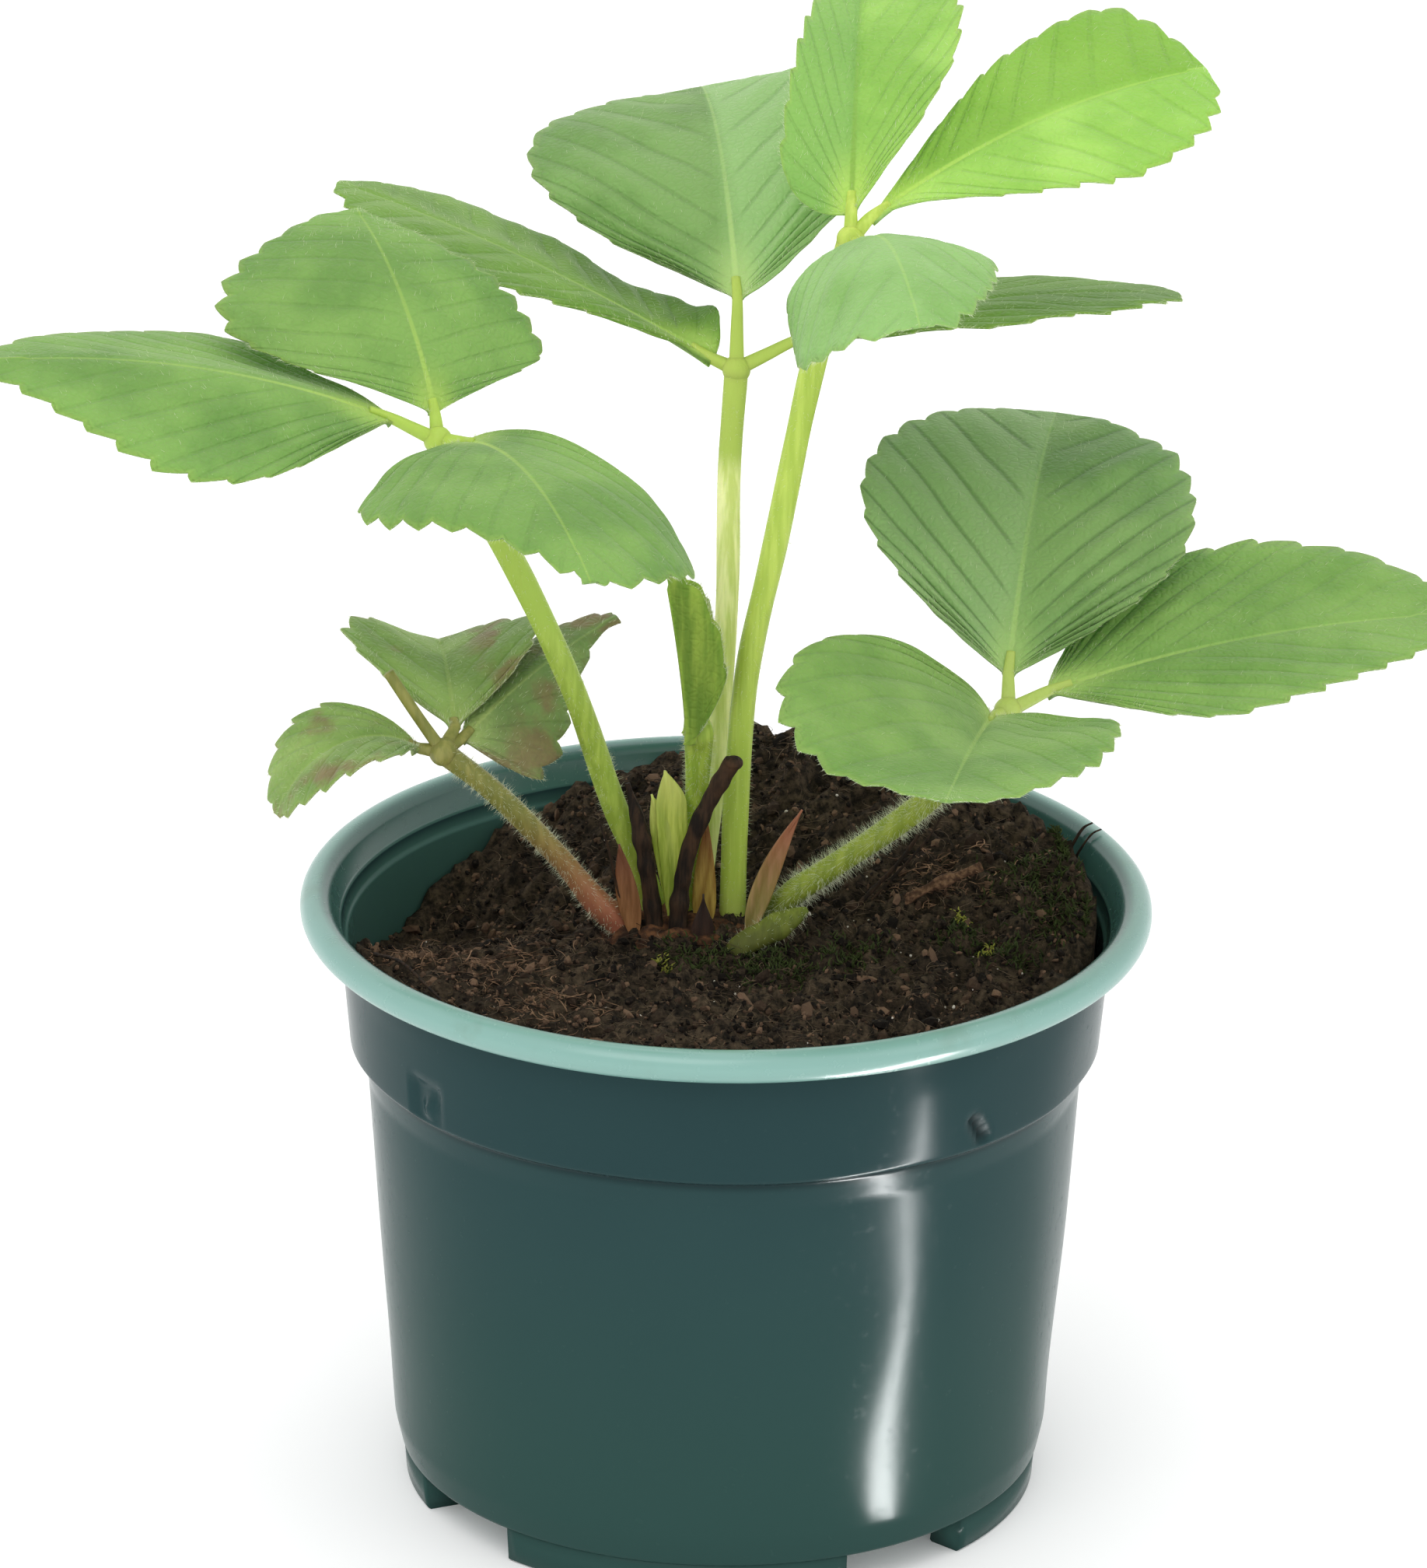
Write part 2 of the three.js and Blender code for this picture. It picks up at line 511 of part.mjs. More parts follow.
// Petiole: the stalk, its knob and the three short stalks that carry the leaflets. A spur is the stalk of a
// leaflet that has dropped off.
function petioleParts({ stalk, spur, leaflets }, grow = 0) {
  const top = vec(stalk.path.at(-1));
  let solid = stalkSolid(stalk, grow);
  solid = solid.add(ball(top, knobRadius + grow));
  if (spur) solid = solid.add(stalkSolid(spur, grow, 7));
  for (const { petiolule: [heading, rise, length] } of Object.values(leaflets)) {
    const end = top.clone().addScaledVector(direction(heading, rise), length - 0.6);
    const mid = top.clone().lerp(end, 0.5);
    solid = solid.add(stalkSolid({ radius: petioluleRadius, flare: petioluleRadius,
      path: [top.toArray(), mid.toArray(), end.toArray()] }, grow, 7));
  }
  return solid;
}

// Assembly
const planted = [];
for (const [key, leaf] of Object.entries(leaves)) {
  planted.push({ name: `petiole_${key}`, solid: petioleParts(leaf), cut: stalkSolid(leaf.stalk, gap),
    color: key === "c" ? 0xa3c83f : 0x98b84a });
}
const folded = youngLeaf.folded.map((blade) => bladeSolid(blade, vec(blade.base), 0.6));
const youngStalk = stalkSolid(youngLeaf.stalk).add(ball(vec(youngLeaf.stalk.path.at(-1)), youngLeaf.knob));
planted.push({ name: "young_leaf", solid: folded.reduce((sum, blade) => sum.add(blade), youngStalk),
  cut: stalkSolid(youngLeaf.stalk, gap), color: 0x8fae52 });
for (const [name, stalk] of Object.entries(oldStalks)) {
  planted.push({ name, solid: stalkSolid(stalk), cut: stalkSolid(stalk, gap),
    color: name === "old_sheath" ? 0x6d7034 : 0x3d2f26 });
}
for (const [name, { colour, blades }] of Object.entries(stipules)) {
  const parts = blades.map((blade) => bladeSolid(blade, vec(blade.base)));
  const cuts = blades.map((blade) => bladeSolid(blade, vec(blade.base), bladeThickness + 2 * gap, gap));
  planted.push({ name, solid: parts.reduce((sum, part) => sum.add(part)),
    cut: cuts.reduce((sum, part) => sum.add(part)), color: colour });
}

let crownBody = crownSolid();
let ground = soilSolid().subtract(crownSolid(gap));
for (const { cut } of planted) {
  crownBody = crownBody.subtract(cut);
  ground = ground.subtract(cut);
}
const twigCut = stalkSolid(twig, gap, 6);
ground = ground.subtract(twigCut);

addPiece("pot", potSolid(), 0x4f8280, 0.35);
addPiece("soil", ground, 0x2f2520, 0.95);
addPiece("crown", crownBody, 0x6b4a38, 0.8);
for (const { name, solid, color } of planted) addPiece(name, solid, color);
for (const [key, leaf] of Object.entries(leaves)) {
  const top = vec(leaf.stalk.path.at(-1));
  for (const [place, leaflet] of Object.entries(leaf.leaflets)) {
    const [heading, rise, length] = leaflet.petiolule;
    const base = top.clone().addScaledVector(direction(heading, rise), length);
    addPiece(`leaflet_${key}_${place}`, bladeSolid(leaflet, base), leaf.colour, 0.5);
  }
}
addPiece("twig", stalkSolid(twig, 0, 6), 0x5c4433, 0.9);

export default group;
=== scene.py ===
# %% [markdown]
# # A strawberry plant in a nursery pot
#
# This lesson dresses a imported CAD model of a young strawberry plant. The CAD solids give every piece its
# place and its main form. Here each one is replaced by a finer surface of the same form, worked out with
# numpy from the same named values, and given a material of its own. Sizes are in millimetres until the
# moment that a mesh is made, because plants are easier to think about that way.

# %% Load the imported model
import math

import bpy
import numpy as np
from mathutils import Matrix, Vector


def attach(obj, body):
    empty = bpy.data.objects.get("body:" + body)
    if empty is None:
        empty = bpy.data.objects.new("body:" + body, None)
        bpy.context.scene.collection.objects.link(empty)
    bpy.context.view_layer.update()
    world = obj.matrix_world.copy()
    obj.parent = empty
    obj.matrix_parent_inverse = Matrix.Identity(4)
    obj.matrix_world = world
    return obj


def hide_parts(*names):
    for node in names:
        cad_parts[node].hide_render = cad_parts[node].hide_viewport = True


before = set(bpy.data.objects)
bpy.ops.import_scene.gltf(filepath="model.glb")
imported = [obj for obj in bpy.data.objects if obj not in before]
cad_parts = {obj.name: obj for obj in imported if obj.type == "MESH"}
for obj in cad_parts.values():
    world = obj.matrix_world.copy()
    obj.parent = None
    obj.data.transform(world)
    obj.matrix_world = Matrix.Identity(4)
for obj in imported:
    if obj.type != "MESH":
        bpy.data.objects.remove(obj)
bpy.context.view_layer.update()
MM = 0.001
print("CAD nodes:", len(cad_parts))

# %% [markdown]
# ## The camera
#
# The photograph was taken with a long lens from about a metre and a half away, looking down at the pot by
# about 23 degrees. The lens, the distance and three small turns of the camera were found by matching the
# ellipse of the rim and the outline of the wall. The rows of the view matrix are the camera's own right, up
# and backward directions, so the transpose of that matrix turns the camera object.

# %% Make the camera
CAMERA_DISTANCE = 1500
CAMERA_TILT = math.radians(22.62)
CAMERA_TURNS = (-0.076, -0.64, -0.725)
AIM_HEIGHT = 86.6
FOCAL_PIXELS = 13690
LONG_SIDE_PIXELS = 2016
SENSOR = 36


def view_rows(tilt, turns):
    """Rows of a camera that looks along +Y and down by tilt, then turned in yaw, pitch and roll."""
    ahead = np.array([0, math.cos(tilt), -math.sin(tilt)])
    right = np.array([1.0, 0, 0])
    rows = np.stack([right, np.cross(right, ahead), -ahead])
    yaw, pitch, roll = (math.radians(a) for a in turns)
    spin = Matrix.Rotation(roll, 3, "Z") @ Matrix.Rotation(pitch, 3, "X") @ Matrix.Rotation(yaw, 3, "Y")
    return np.array(spin) @ rows


camera_data = bpy.data.cameras.new("camera")
camera_data.sensor_width = SENSOR
camera_data.lens = SENSOR * FOCAL_PIXELS / LONG_SIDE_PIXELS
camera_data.clip_start = 0.05
camera = bpy.data.objects.new("camera", camera_data)
bpy.context.scene.collection.objects.link(camera)
rows = view_rows(CAMERA_TILT, CAMERA_TURNS)
stand = [0, -CAMERA_DISTANCE * math.cos(CAMERA_TILT), CAMERA_DISTANCE * math.sin(CAMERA_TILT) + AIM_HEIGHT]
turned = Matrix([list(r) for r in rows.T]).to_4x4()
camera.matrix_world = Matrix.Translation([c * MM for c in stand]) @ turned
bpy.context.scene.camera = camera
print("lens", round(camera_data.lens, 1), "mm")

# %% [markdown]
# ## A node socket that can do arithmetic
#
# Shader maths reads best as an expression. `Value` wraps one output socket, and every operator on it adds the
# Math node that works it out. `Finish` is one material being made. Its method `node` adds any other node.

# %% Write shader maths as Python expressions
class Value:
    """A number or a colour that comes out of a node of one finish."""

    def __init__(self, finish, socket):
        self.finish = finish
        self.socket = socket

    def math(self, operation, *others):
        """The Math node that does this operation on the value and the others."""
        inputs = dict(enumerate((self, *others)))
        return self.finish.node("ShaderNodeMath", {"operation": operation}, inputs)[0]

    def __add__(self, other):
        return self.math("ADD", other)

    def __sub__(self, other):
        return self.math("SUBTRACT", other)

    def __rsub__(self, other):
        return self.math("MULTIPLY_ADD", -1, other)

    def __mul__(self, other):
        return self.math("MULTIPLY", other)

    def __truediv__(self, other):
        return self.math("DIVIDE", other)

    __radd__ = __add__
    __rmul__ = __mul__

    def abs(self):
        return self.math("ABSOLUTE")

    def fraction(self):
        """The part after the decimal point."""
        return self.math("FRACT")

    def step(self, low, high):
        """0 below low, 1 above high, and a smooth rise in between. It falls if low is the larger."""
        settings = {"interpolation_type": "SMOOTHSTEP"}
        inputs = {"Value": self, "From Min": low, "From Max": high}
        return self.finish.node("ShaderNodeMapRange", settings, inputs)[0]


# %% Make a material node by node
class Finish:
    """One material: a Principled shader whose plain numbers are set by name, and nodes that feed it."""

    def __init__(self, name, **plain):
        self.material = bpy.data.materials.new(name)
        self.material.use_nodes = True
        self.tree = self.material.node_tree
        self.tree.nodes.clear()
        self.shader = self.tree.nodes.new("ShaderNodeBsdfPrincipled")
        output = self.tree.nodes.new("ShaderNodeOutputMaterial")
        self.tree.links.new(self.shader.outputs[0], output.inputs["Surface"])
        for key, number in plain.items():
            self.shader.inputs[key.replace("_", " ").title().replace("Ior", "IOR")].default_value = number
        self.place = self.node("ShaderNodeTexCoord")["Object"]

    def node(self, kind, settings=None, inputs=None):
        """Adds a node, sets it, fills its sockets, and returns its outputs, by name or by number."""
        made = self.tree.nodes.new(kind)
        for key, setting in (settings or {}).items():
            setattr(made, key, setting)
        for key, value in (inputs or {}).items():
            self.feed(made.inputs[key], value)
        return {key: Value(self, out) for i, out in enumerate(made.outputs) for key in (out.name, i)}

    def feed(self, socket, value):
        """Links a value to a socket, or sets a plain number or colour there."""
        if isinstance(value, Value):
            self.tree.links.new(value.socket, socket)
        else:
            socket.default_value = value

    def noise(self, size, detail=3, roughness=0.55, upright=1):
        """Cloudy noise from 0 to 1, its patches about size millimetres across, and taller if upright < 1."""
        place = self.place
        if upright != 1:
            place = self.node("ShaderNodeMapping", None, {"Vector": place, "Scale": (1, 1, upright)})[0]
        inputs = {"Vector": place, "Scale": 1 / (size * MM), "Detail": detail, "Roughness": roughness}
        return self.node("ShaderNodeTexNoise", None, inputs)["Fac"]

    def cells(self, size):
        """Voronoi cells about size millimetres across: the distance to their edge."""
        inputs = {"Vector": self.place, "Scale": 1 / (size * MM)}
        return self.node("ShaderNodeTexVoronoi", {"feature": "DISTANCE_TO_EDGE"}, inputs)["Distance"]

    def grain(self, size, low, high, relief=0.0, **noise):
        """Two colours blended by noise. The same noise is the relief, which is given in millimetres."""
        pattern = self.noise(size, **noise)
        if relief:
            self.bump(pattern, relief)
        return self.mix(pattern.step(0.35, 0.7), low, high)

    def mix(self, amount, first, second):
        """Blends two colours: the first where amount is 0, the second where it is 1."""
        settings = {"data_type": "RGBA", "clamp_factor": True}
        return self.node("ShaderNodeMix", settings, {0: amount, 6: first, 7: second})[2]

    def attribute(self, name):
        """The number that the mesh holds here under a name."""
        return self.node("ShaderNodeAttribute", {"attribute_name": name})["Fac"]

    def height(self):
        """Height above the floor in millimetres."""
        return self.node("ShaderNodeSeparateXYZ", None, {0: self.place})["Z"] / MM

    def bump(self, relief, depth, strength=1.0):
        """Feeds the shader's Normal with a relief of depth millimetres."""
        inputs = {"Height": relief, "Distance": depth * MM, "Strength": strength}
        self.feed(self.shader.inputs["Normal"], self.node("ShaderNodeBump", None, inputs)["Normal"])

    def colour(self, value):
        self.feed(self.shader.inputs["Base Color"], value)

    def roughness(self, value):
        self.feed(self.shader.inputs["Roughness"], value)


def rgb(red, green, blue):
    """A colour as a paint program writes it, from 0 to 255, as the linear light that a shader needs."""
    share = np.array([red, green, blue]) / 255
    linear = np.where(share <= 0.04045, share / 12.92, ((share + 0.055) / 1.055) ** 2.4)
    return (*linear.tolist(), 1.0)


# %% [markdown]
# ## From arrays to meshes
#
# Every piece below ends as a grid of points. `grid_faces` numbers the four corners of each cell of such a
# grid, and `add_piece` writes the arrays straight into a mesh. Patterns that follow the surface, such as the
# veins of a leaf, travel with it as named attributes.

# %% Build meshes from arrays
def grid_faces(count_rows, count_columns, closed=False):
    """The cells of a grid of points, four corners each. A closed grid joins its last column to its first."""
    row = np.arange(count_rows - 1)[:, None]
    column = np.arange(count_columns - (not closed))[None]
    beside = (column + 1) % count_columns
    below, above = row * count_columns, (row + 1) * count_columns
    corners = [below + column, below + beside, above + beside, above + column]
    return np.stack(corners, -1).reshape(-1, 4)


def write_attribute(mesh, name, values):
    """Gives each vertex of a mesh one number, for a material to read."""
    layer = mesh.attributes.new(name, "FLOAT", "POINT")
    layer.data.foreach_set("value", np.asarray(values, np.float32).ravel())


def read_places(items, key):
    """The three numbers that each item of a mesh holds under a key, in millimetres."""
    numbers = np.empty(len(items) * 3, np.float32)
    items.foreach_get(key, numbers)
    return numbers.reshape(-1, 3) / MM


def add_piece(name, points, faces, finish, node=None, attributes=None, smooth=True):
    """Makes a mesh object from points in millimetres and a list of face arrays, and rides it on the plant."""
    mesh = bpy.data.meshes.new(name)
    points = np.asarray(points, np.float32).reshape(-1, 3)
    mesh.vertices.add(len(points))
    mesh.vertices.foreach_set("co", (points * MM).ravel())
    corners = np.concatenate([f.ravel() for f in faces]).astype(np.int32)
    sizes = np.concatenate([np.full(len(f), f.shape[1]) for f in faces])
    mesh.loops.add(len(corners))
    mesh.loops.foreach_set("vertex_index", corners)
    mesh.polygons.add(len(sizes))
    mesh.polygons.foreach_set("loop_start", (np.cumsum(sizes) - sizes).astype(np.int32))
    mesh.update(calc_edges=True)
    mesh.validate()
    mesh.polygons.foreach_set("use_smooth", np.full(len(mesh.polygons), smooth))
    for key, values in (attributes or {}).items():
        write_attribute(mesh, key, values)
    mesh.materials.append(finish.material)
    piece = bpy.data.objects.new(name, mesh)
    bpy.context.scene.collection.objects.link(piece)
    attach(piece, "root")
    if node:
        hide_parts(node)
    print(f"{name}: {(sizes - 2).sum()} triangles")
    return piece


# %% Copy, join and ripple points
def many(shape, faces, places):
    """Copies one small shape to many places at once: each place is a 3x4 matrix that moves every point."""
    points = np.einsum("nij,pj->npi", places[:, :, :3], shape) + places[:, None, :, 3]
    offsets = np.arange(len(places)) * len(shape)
    return points.reshape(-1, 3), (faces[None] + offsets[:, None, None]).reshape(-1, faces.shape[1])


def join(parts):
    """Several (points, faces) pairs as one."""
    points, faces, count = [], [], 0
    for part, part_faces in parts:
        points.append(part)
        faces.extend(f + count for f in part_faces)
        count += len(part)
    return np.concatenate(points), faces


def around(radius, turn, height):
    """Points at a radius from the pot's axis, a turn about it and a height: cosine, sine and height."""
    return np.stack(np.broadcast_arrays(radius * np.cos(turn), radius * np.sin(turn), height), -1)


def unit(vectors):
    """Vectors of length one in the same directions."""
    return vectors / np.maximum(np.linalg.norm(vectors, axis=-1, keepdims=True), 1e-9)


def ripple(points, size, seed, waves=9):
    """Smooth noise from about -1 to 1: plane waves in random directions, size millimetres long, added up."""
    chance = np.random.default_rng(seed)
    pushes = unit(chance.normal(size=(waves, points.shape[-1]))) * 2 * np.pi / size
    pushes = pushes * chance.uniform(0.7, 1.4, (waves, 1))
    return np.sin(points @ pushes.T + chance.uniform(0, 2 * np.pi, waves)).sum(-1) / math.sqrt(waves)


# %% [markdown]
# ## The pot
#
# A nursery pot is blown or pressed from a thin plastic sheet. It is round, so its wall is one outline turned
# about its axis. The outline is written as a few corner points, each softened by a short curve. Two small
# marks on the collar keep stacked pots from sticking, and they are pressed in by moving the wall points that
# lie inside them. The outer wall is slightly wavy, as thin sheet is. The feet are four pieces of a ring, with
# a gap between each pair.

# %% Draw the outline of the wall
RIM_RADIUS, RIM_TUBE, RIM_HEIGHT = 57.7, 2.3, 86.6
WALL = 1.0
FLOOR_BOTTOM, FLOOR_TOP = 5.0, 6.2
COLLAR_TOP, COLLAR_FOOT = (54.6, 84.2), (53.0, 66.9)
LEDGE, LEDGE_WALL = (51.7, 66.3), 1.4
BODY_TOP, BODY_FOOT, CHAMFER_FOOT = (50.5, 62.0), (46.6, 9.5), (45.6, FLOOR_BOTTOM)
INNER_STEPS = [(54.6, 84.8), (54.2, 84.4), (53.7, 82.6), (53.2, 82.2)]
DRAIN_RADIUS, DRAIN_RING = 3.5, 26
CORNER = 0.8
BODY_STEP, COLLAR_STEP, INNER_STEP = 2.5, 1.1, 4
POT_SIDES = 360


def soften(corners, reach):
    """Rounds the corners of an outline: near each one it follows a quadratic curve from side to side."""
    corners = np.array(corners, float)
    line = [corners[:1]]
    share = np.linspace(0, 1, 6)[:, None]
    for before, here, after in zip(corners[:-2], corners[1:-1], corners[2:]):
        short = min(reach, np.linalg.norm(here - before) * 0.45, np.linalg.norm(after - here) * 0.45)
        start = here + unit(before - here) * short
        end = here + unit(after - here) * short
        line.append((1 - share) ** 2 * start + 2 * share * (1 - share) * here + share**2 * end)
    return np.concatenate([*line, corners[-1:]])


def filled(line, longest):
    """Adds points to an outline so that no step of it is longer than longest."""
    parts = [np.linspace(a, b, max(2, math.ceil(np.linalg.norm(b - a) / longest) + 1))[:-1]
             for a, b in zip(line[:-1], line[1:])]
    return np.concatenate([*parts, line[-1:]])


def inward(corner, wall=WALL):
    """The inner wall's corner that faces a corner of the outer wall."""
    return corner[0] - wall, corner[1]


lip_turns = np.radians(np.linspace(205, 520, 28))
lip = np.stack([RIM_RADIUS + RIM_TUBE * np.cos(lip_turns), RIM_HEIGHT + RIM_TUBE * np.sin(lip_turns)], 1)
outside = soften([(DRAIN_RADIUS, FLOOR_BOTTOM), CHAMFER_FOOT, BODY_FOOT, BODY_TOP, LEDGE, COLLAR_FOOT,
                  COLLAR_TOP], CORNER)
inside = soften([*INNER_STEPS, inward(COLLAR_FOOT), inward(LEDGE, LEDGE_WALL), inward(BODY_TOP),
                 inward(BODY_FOOT), inward((CHAMFER_FOOT[0], FLOOR_TOP)), (DRAIN_RADIUS, FLOOR_TOP)], CORNER)
collar_start = np.argmax(outside[:, 1] > LEDGE[1] - CORNER)
body = filled(outside[:collar_start + 1], BODY_STEP)
outside = np.concatenate([body[:-1], filled(outside[collar_start:], COLLAR_STEP)])
pot_line = np.concatenate([outside, lip, filled(inside, INNER_STEP), outside[:1]])
print("wall outline:", len(pot_line), "points")

# %% Turn the outline and press in the marks
COLLAR_RADIUS = 53
RECESS_AT, RECESS_HALF, RECESS_DEPTH = (219, 70.2), (3.6, 3.3), 0.9
BEAD_AT, BEAD_SPREAD, BEAD_RISE = (1.1, -1.0), (1.6, 1.7), 1.5
SLIT_AT, SLIT_HALF, SLIT_SPREAD, SLIT_DEPTH = (311.4, 70.0), 3.1, 0.9, 1.1
SLIT_LEAN = (0.55, 0.84)
SWELL_SIZE, SWELL_HEIGHT = 26, 0.11


def offset(spot, heading, height):
    """Millimetres across and up from a spot on the collar, which is given as a heading and a height."""
    return np.radians(heading - spot[0]) * COLLAR_RADIUS, height - spot[1]


def stacking_marks(heading, height):
    """How far the wall is pressed in: a square recess with a raised bead in it, and a slanted slit."""
    across, up = offset(RECESS_AT, heading, height)
    square = np.clip(RECESS_HALF[0] - np.abs(across), 0, 1) * np.clip(RECESS_HALF[1] - np.abs(up), 0, 1)
    bead_across, bead_up = (across - BEAD_AT[0]) / BEAD_SPREAD[0], (up - BEAD_AT[1]) / BEAD_SPREAD[1]
    bead = np.exp(-(bead_across**2) - bead_up**2)
    across, up = offset(SLIT_AT, heading, height)
    along = across * SLIT_LEAN[0] - up * SLIT_LEAN[1]
    aside = across * SLIT_LEAN[1] + up * SLIT_LEAN[0]
    slit = np.clip(SLIT_HALF - np.abs(along), 0, 1) * np.exp(-((aside / SLIT_SPREAD) ** 2))
    return RECESS_DEPTH * square - BEAD_RISE * bead * square + SLIT_DEPTH * slit, slit


turn = np.linspace(0, 2 * np.pi, POT_SIDES, endpoint=False)
radius, height = pot_line[:, :1], pot_line[:, 1:]
on_wall = np.arange(len(pot_line))[:, None] < len(outside)
swell = SWELL_HEIGHT * ripple(around(radius, turn, height), SWELL_SIZE, 5)
upright = np.clip((height - 6) / 8, 0, 1) * np.clip((82 - height) / 4, 0, 1)
radius = radius - on_wall * (stacking_marks(np.degrees(turn), height)[0] - swell * upright)
pot_points = around(radius, turn, height)[:-1].reshape(-1, 3)
pot_faces = grid_faces(len(pot_line), POT_SIDES, closed=True) % len(pot_points)
print("pot wall:", len(pot_points), "points")

# %% Bend the feet
FOOT_HEADINGS = (-98.7, -8.7, 81.3, 171.3)
FOOT_GAP, FOOT_MIDDLE = 19, 43
FOOT_SECTION = np.array([(39.7, 0.3), (40.0, 0.0), (44.6, 0.0), (45.0, 0.3), (45.4, 5.5), (40.5, 5.5)])
FOOT_STEPS = 33


def foot(heading):
    """One foot: a block bent round the pot's axis, from sharp edges up to where it sinks into the floor."""
    half = 45 - math.degrees(math.asin(FOOT_GAP / 2 / FOOT_MIDDLE))
    turn = np.radians(heading + np.linspace(-half, half, FOOT_STEPS))[:, None]
    points = around(FOOT_SECTION[:, 0], turn, FOOT_SECTION[:, 1]).reshape(-1, 3)
    side = len(FOOT_SECTION)
    start = np.arange(side)
    ends = np.stack([start, start[::-1] + len(points) - side])
    return points, [grid_faces(FOOT_STEPS, side, closed=True)[:, ::-1], ends]


points, faces = join([(pot_points, [pot_faces]), *(foot(heading) for heading in FOOT_HEADINGS)])
print("pot with its feet:", len(points), "points")

# %% [markdown]
# ### The pot's plastic
#
# The plastic is dyed dark blue-green right through. The wall changes a little with height and has a painted
# shadow, a dark line, under its ledge, and broad faint clouds keep it from looking like paint. The rolled rim
# is painted much paler, a painted highlight of thin glossy plastic where light falls on it from above, so it
# has a finish of its own, and its inner side is left darker as painted shade. The attribute `inner` is 1 on
# the inner wall, and `cut` is 1 in the slit, which is painted dark as painted shade in the recess. The
# outline leaves a drain hole in the middle of the floor, and four more are drilled round it.

# %% Make the plastic
plastic = Finish("pot_plastic", roughness=0.22, specular_ior_level=0.055)
level = plastic.height()
cut = plastic.attribute("cut")
wall_colour = plastic.mix(plastic.noise(30, detail=2), rgb(38, 62, 64), rgb(44, 70, 70))
wall_colour = plastic.mix(level.step(70, 8), wall_colour, rgb(44, 72, 68))
wall_colour = plastic.mix(level.step(66.5, 67.5) * 0.3, wall_colour, rgb(30, 52, 56))
# Painted shadow: a dark line on the wall just under the ledge, where the collar shades it
painted_ledge_shadow = level.step(64.6, 66.4) * level.step(67.0, 66.6)
wall_colour = plastic.mix(painted_ledge_shadow * 0.6, wall_colour, rgb(14, 26, 30))
# Painted shade: the slit is darkened in colour as a shadowed recess
wall_colour = plastic.mix(cut * 0.85, wall_colour, rgb(12, 20, 22))
plastic.colour(plastic.mix(plastic.attribute("inner"), wall_colour, rgb(66, 100, 94)))
plastic.roughness(plastic.noise(1.6, detail=4).step(0.55, 0.8) * 0.12 + 0.2 + cut * 0.5)
plastic.bump(plastic.noise(6, detail=2), 0.05, 0.5)
pot = add_piece("pot_shell", points, faces, plastic, node="pot")

# Painted highlight: the rim's pale colour stands in for light falling on it from above
rim = Finish("rim_plastic", roughness=0.2, specular_ior_level=0.6)
stain = rim.noise(9, detail=4).step(0.56, 0.74)
pale = rim.mix(rim.noise(30, detail=2), rgb(120, 162, 153), rgb(130, 172, 163))
pale = rim.mix(stain * 0.3, pale, rgb(110, 140, 124))
# Painted shade: the inner side of the rim is left darker
rim.colour(rim.mix(rim.attribute("inner"), pale, rgb(60, 100, 94)))
rim.roughness(rim.noise(1.6, detail=4).step(0.55, 0.8) * 0.15 + 0.24)


# %% Drill the drain holes
def drill(piece, ring, radius, low, high, sides=48):
    """Cuts round holes out of a piece, one at the heading of each foot."""
    turn = np.linspace(0, 2 * np.pi, sides, endpoint=False)
    lids = [list(range(sides))[::-1], list(range(sides, 2 * sides))]
    cutters = []
    for heading in FOOT_HEADINGS:
        middle = around(ring, math.radians(heading), 0)
        points = np.concatenate([middle + around(radius, turn, z) for z in (low, high)])
        mesh = bpy.data.meshes.new("drill")
        mesh.from_pydata((points * MM).tolist(), [], [*grid_faces(2, sides, closed=True).tolist(), *lids])
        cutter = bpy.data.objects.new("drill", mesh)
        bpy.context.scene.collection.objects.link(cutter)
        cut = piece.modifiers.new("drill", "BOOLEAN")
        cut.operation, cut.solver, cut.object = "DIFFERENCE", "MANIFOLD", cutter
        cutters.append(cutter)
    bored = bpy.data.meshes.new_from_object(piece.evaluated_get(bpy.context.evaluated_depsgraph_get()))
    piece.modifiers.clear()
    piece.data = bored
    for cutter in cutters:
        bpy.data.objects.remove(cutter)
    print(f"{piece.name}: {len(bored.polygons)} faces after drilling")


drill(pot, DRAIN_RING, DRAIN_RADIUS, FLOOR_BOTTOM - 1, FLOOR_TOP + 0.3)

# %% Tell the rim and the inner wall apart
RIM_FROM = (54.4, 84.2)
LIP_FROM = 84.3
NEARLY_WALL = 0.6
pot.data.materials.clear()
for finish in (plastic, rim):
    pot.data.materials.append(finish.material)
centres = read_places(pot.data.polygons, "center")
on_rim = (centres[:, 2] > RIM_FROM[1]) & (np.hypot(centres[:, 0], centres[:, 1]) > RIM_FROM[0])
pot.data.polygons.foreach_set("material_index", on_rim.astype(np.int32))

spots = read_places(pot.data.vertices, "co")
spot_radius = np.hypot(spots[:, 0], spots[:, 1])
spot_heading = np.degrees(np.arctan2(spots[:, 1], spots[:, 0])) % 360
wall_radius = np.interp(spots[:, 2], outside[1:, 1], outside[1:, 0])
pressed, slit = stacking_marks(spot_heading, spots[:, 2])
inside_wall = spot_radius < wall_radius - pressed - NEARLY_WALL
on_lip = np.clip((RIM_RADIUS + 0.1 - spot_radius) / 1.3, 0, 1)
write_attribute(pot.data, "inner", np.where(spots[:, 2] > LIP_FROM, on_lip, inside_wall))
write_attribute(pot.data, "cut", slit * ~inside_wall)
print("rim faces:", on_rim.sum())

# %% [markdown]
# ## The soil
#
# Peat compost is a heap of crumbs and fibres. The ground is one height field over a disc: level soil, four
# broad mounds or hollows, and ripples of several sizes for clods. Thousands of crumbs and short fibres lie on
# it, because the eye knows soil by the shadows between its crumbs, which a bump map cannot cast. Where the
# soil has dried it is paler, with a strew of chaff, and round the crown it is damp and dark.

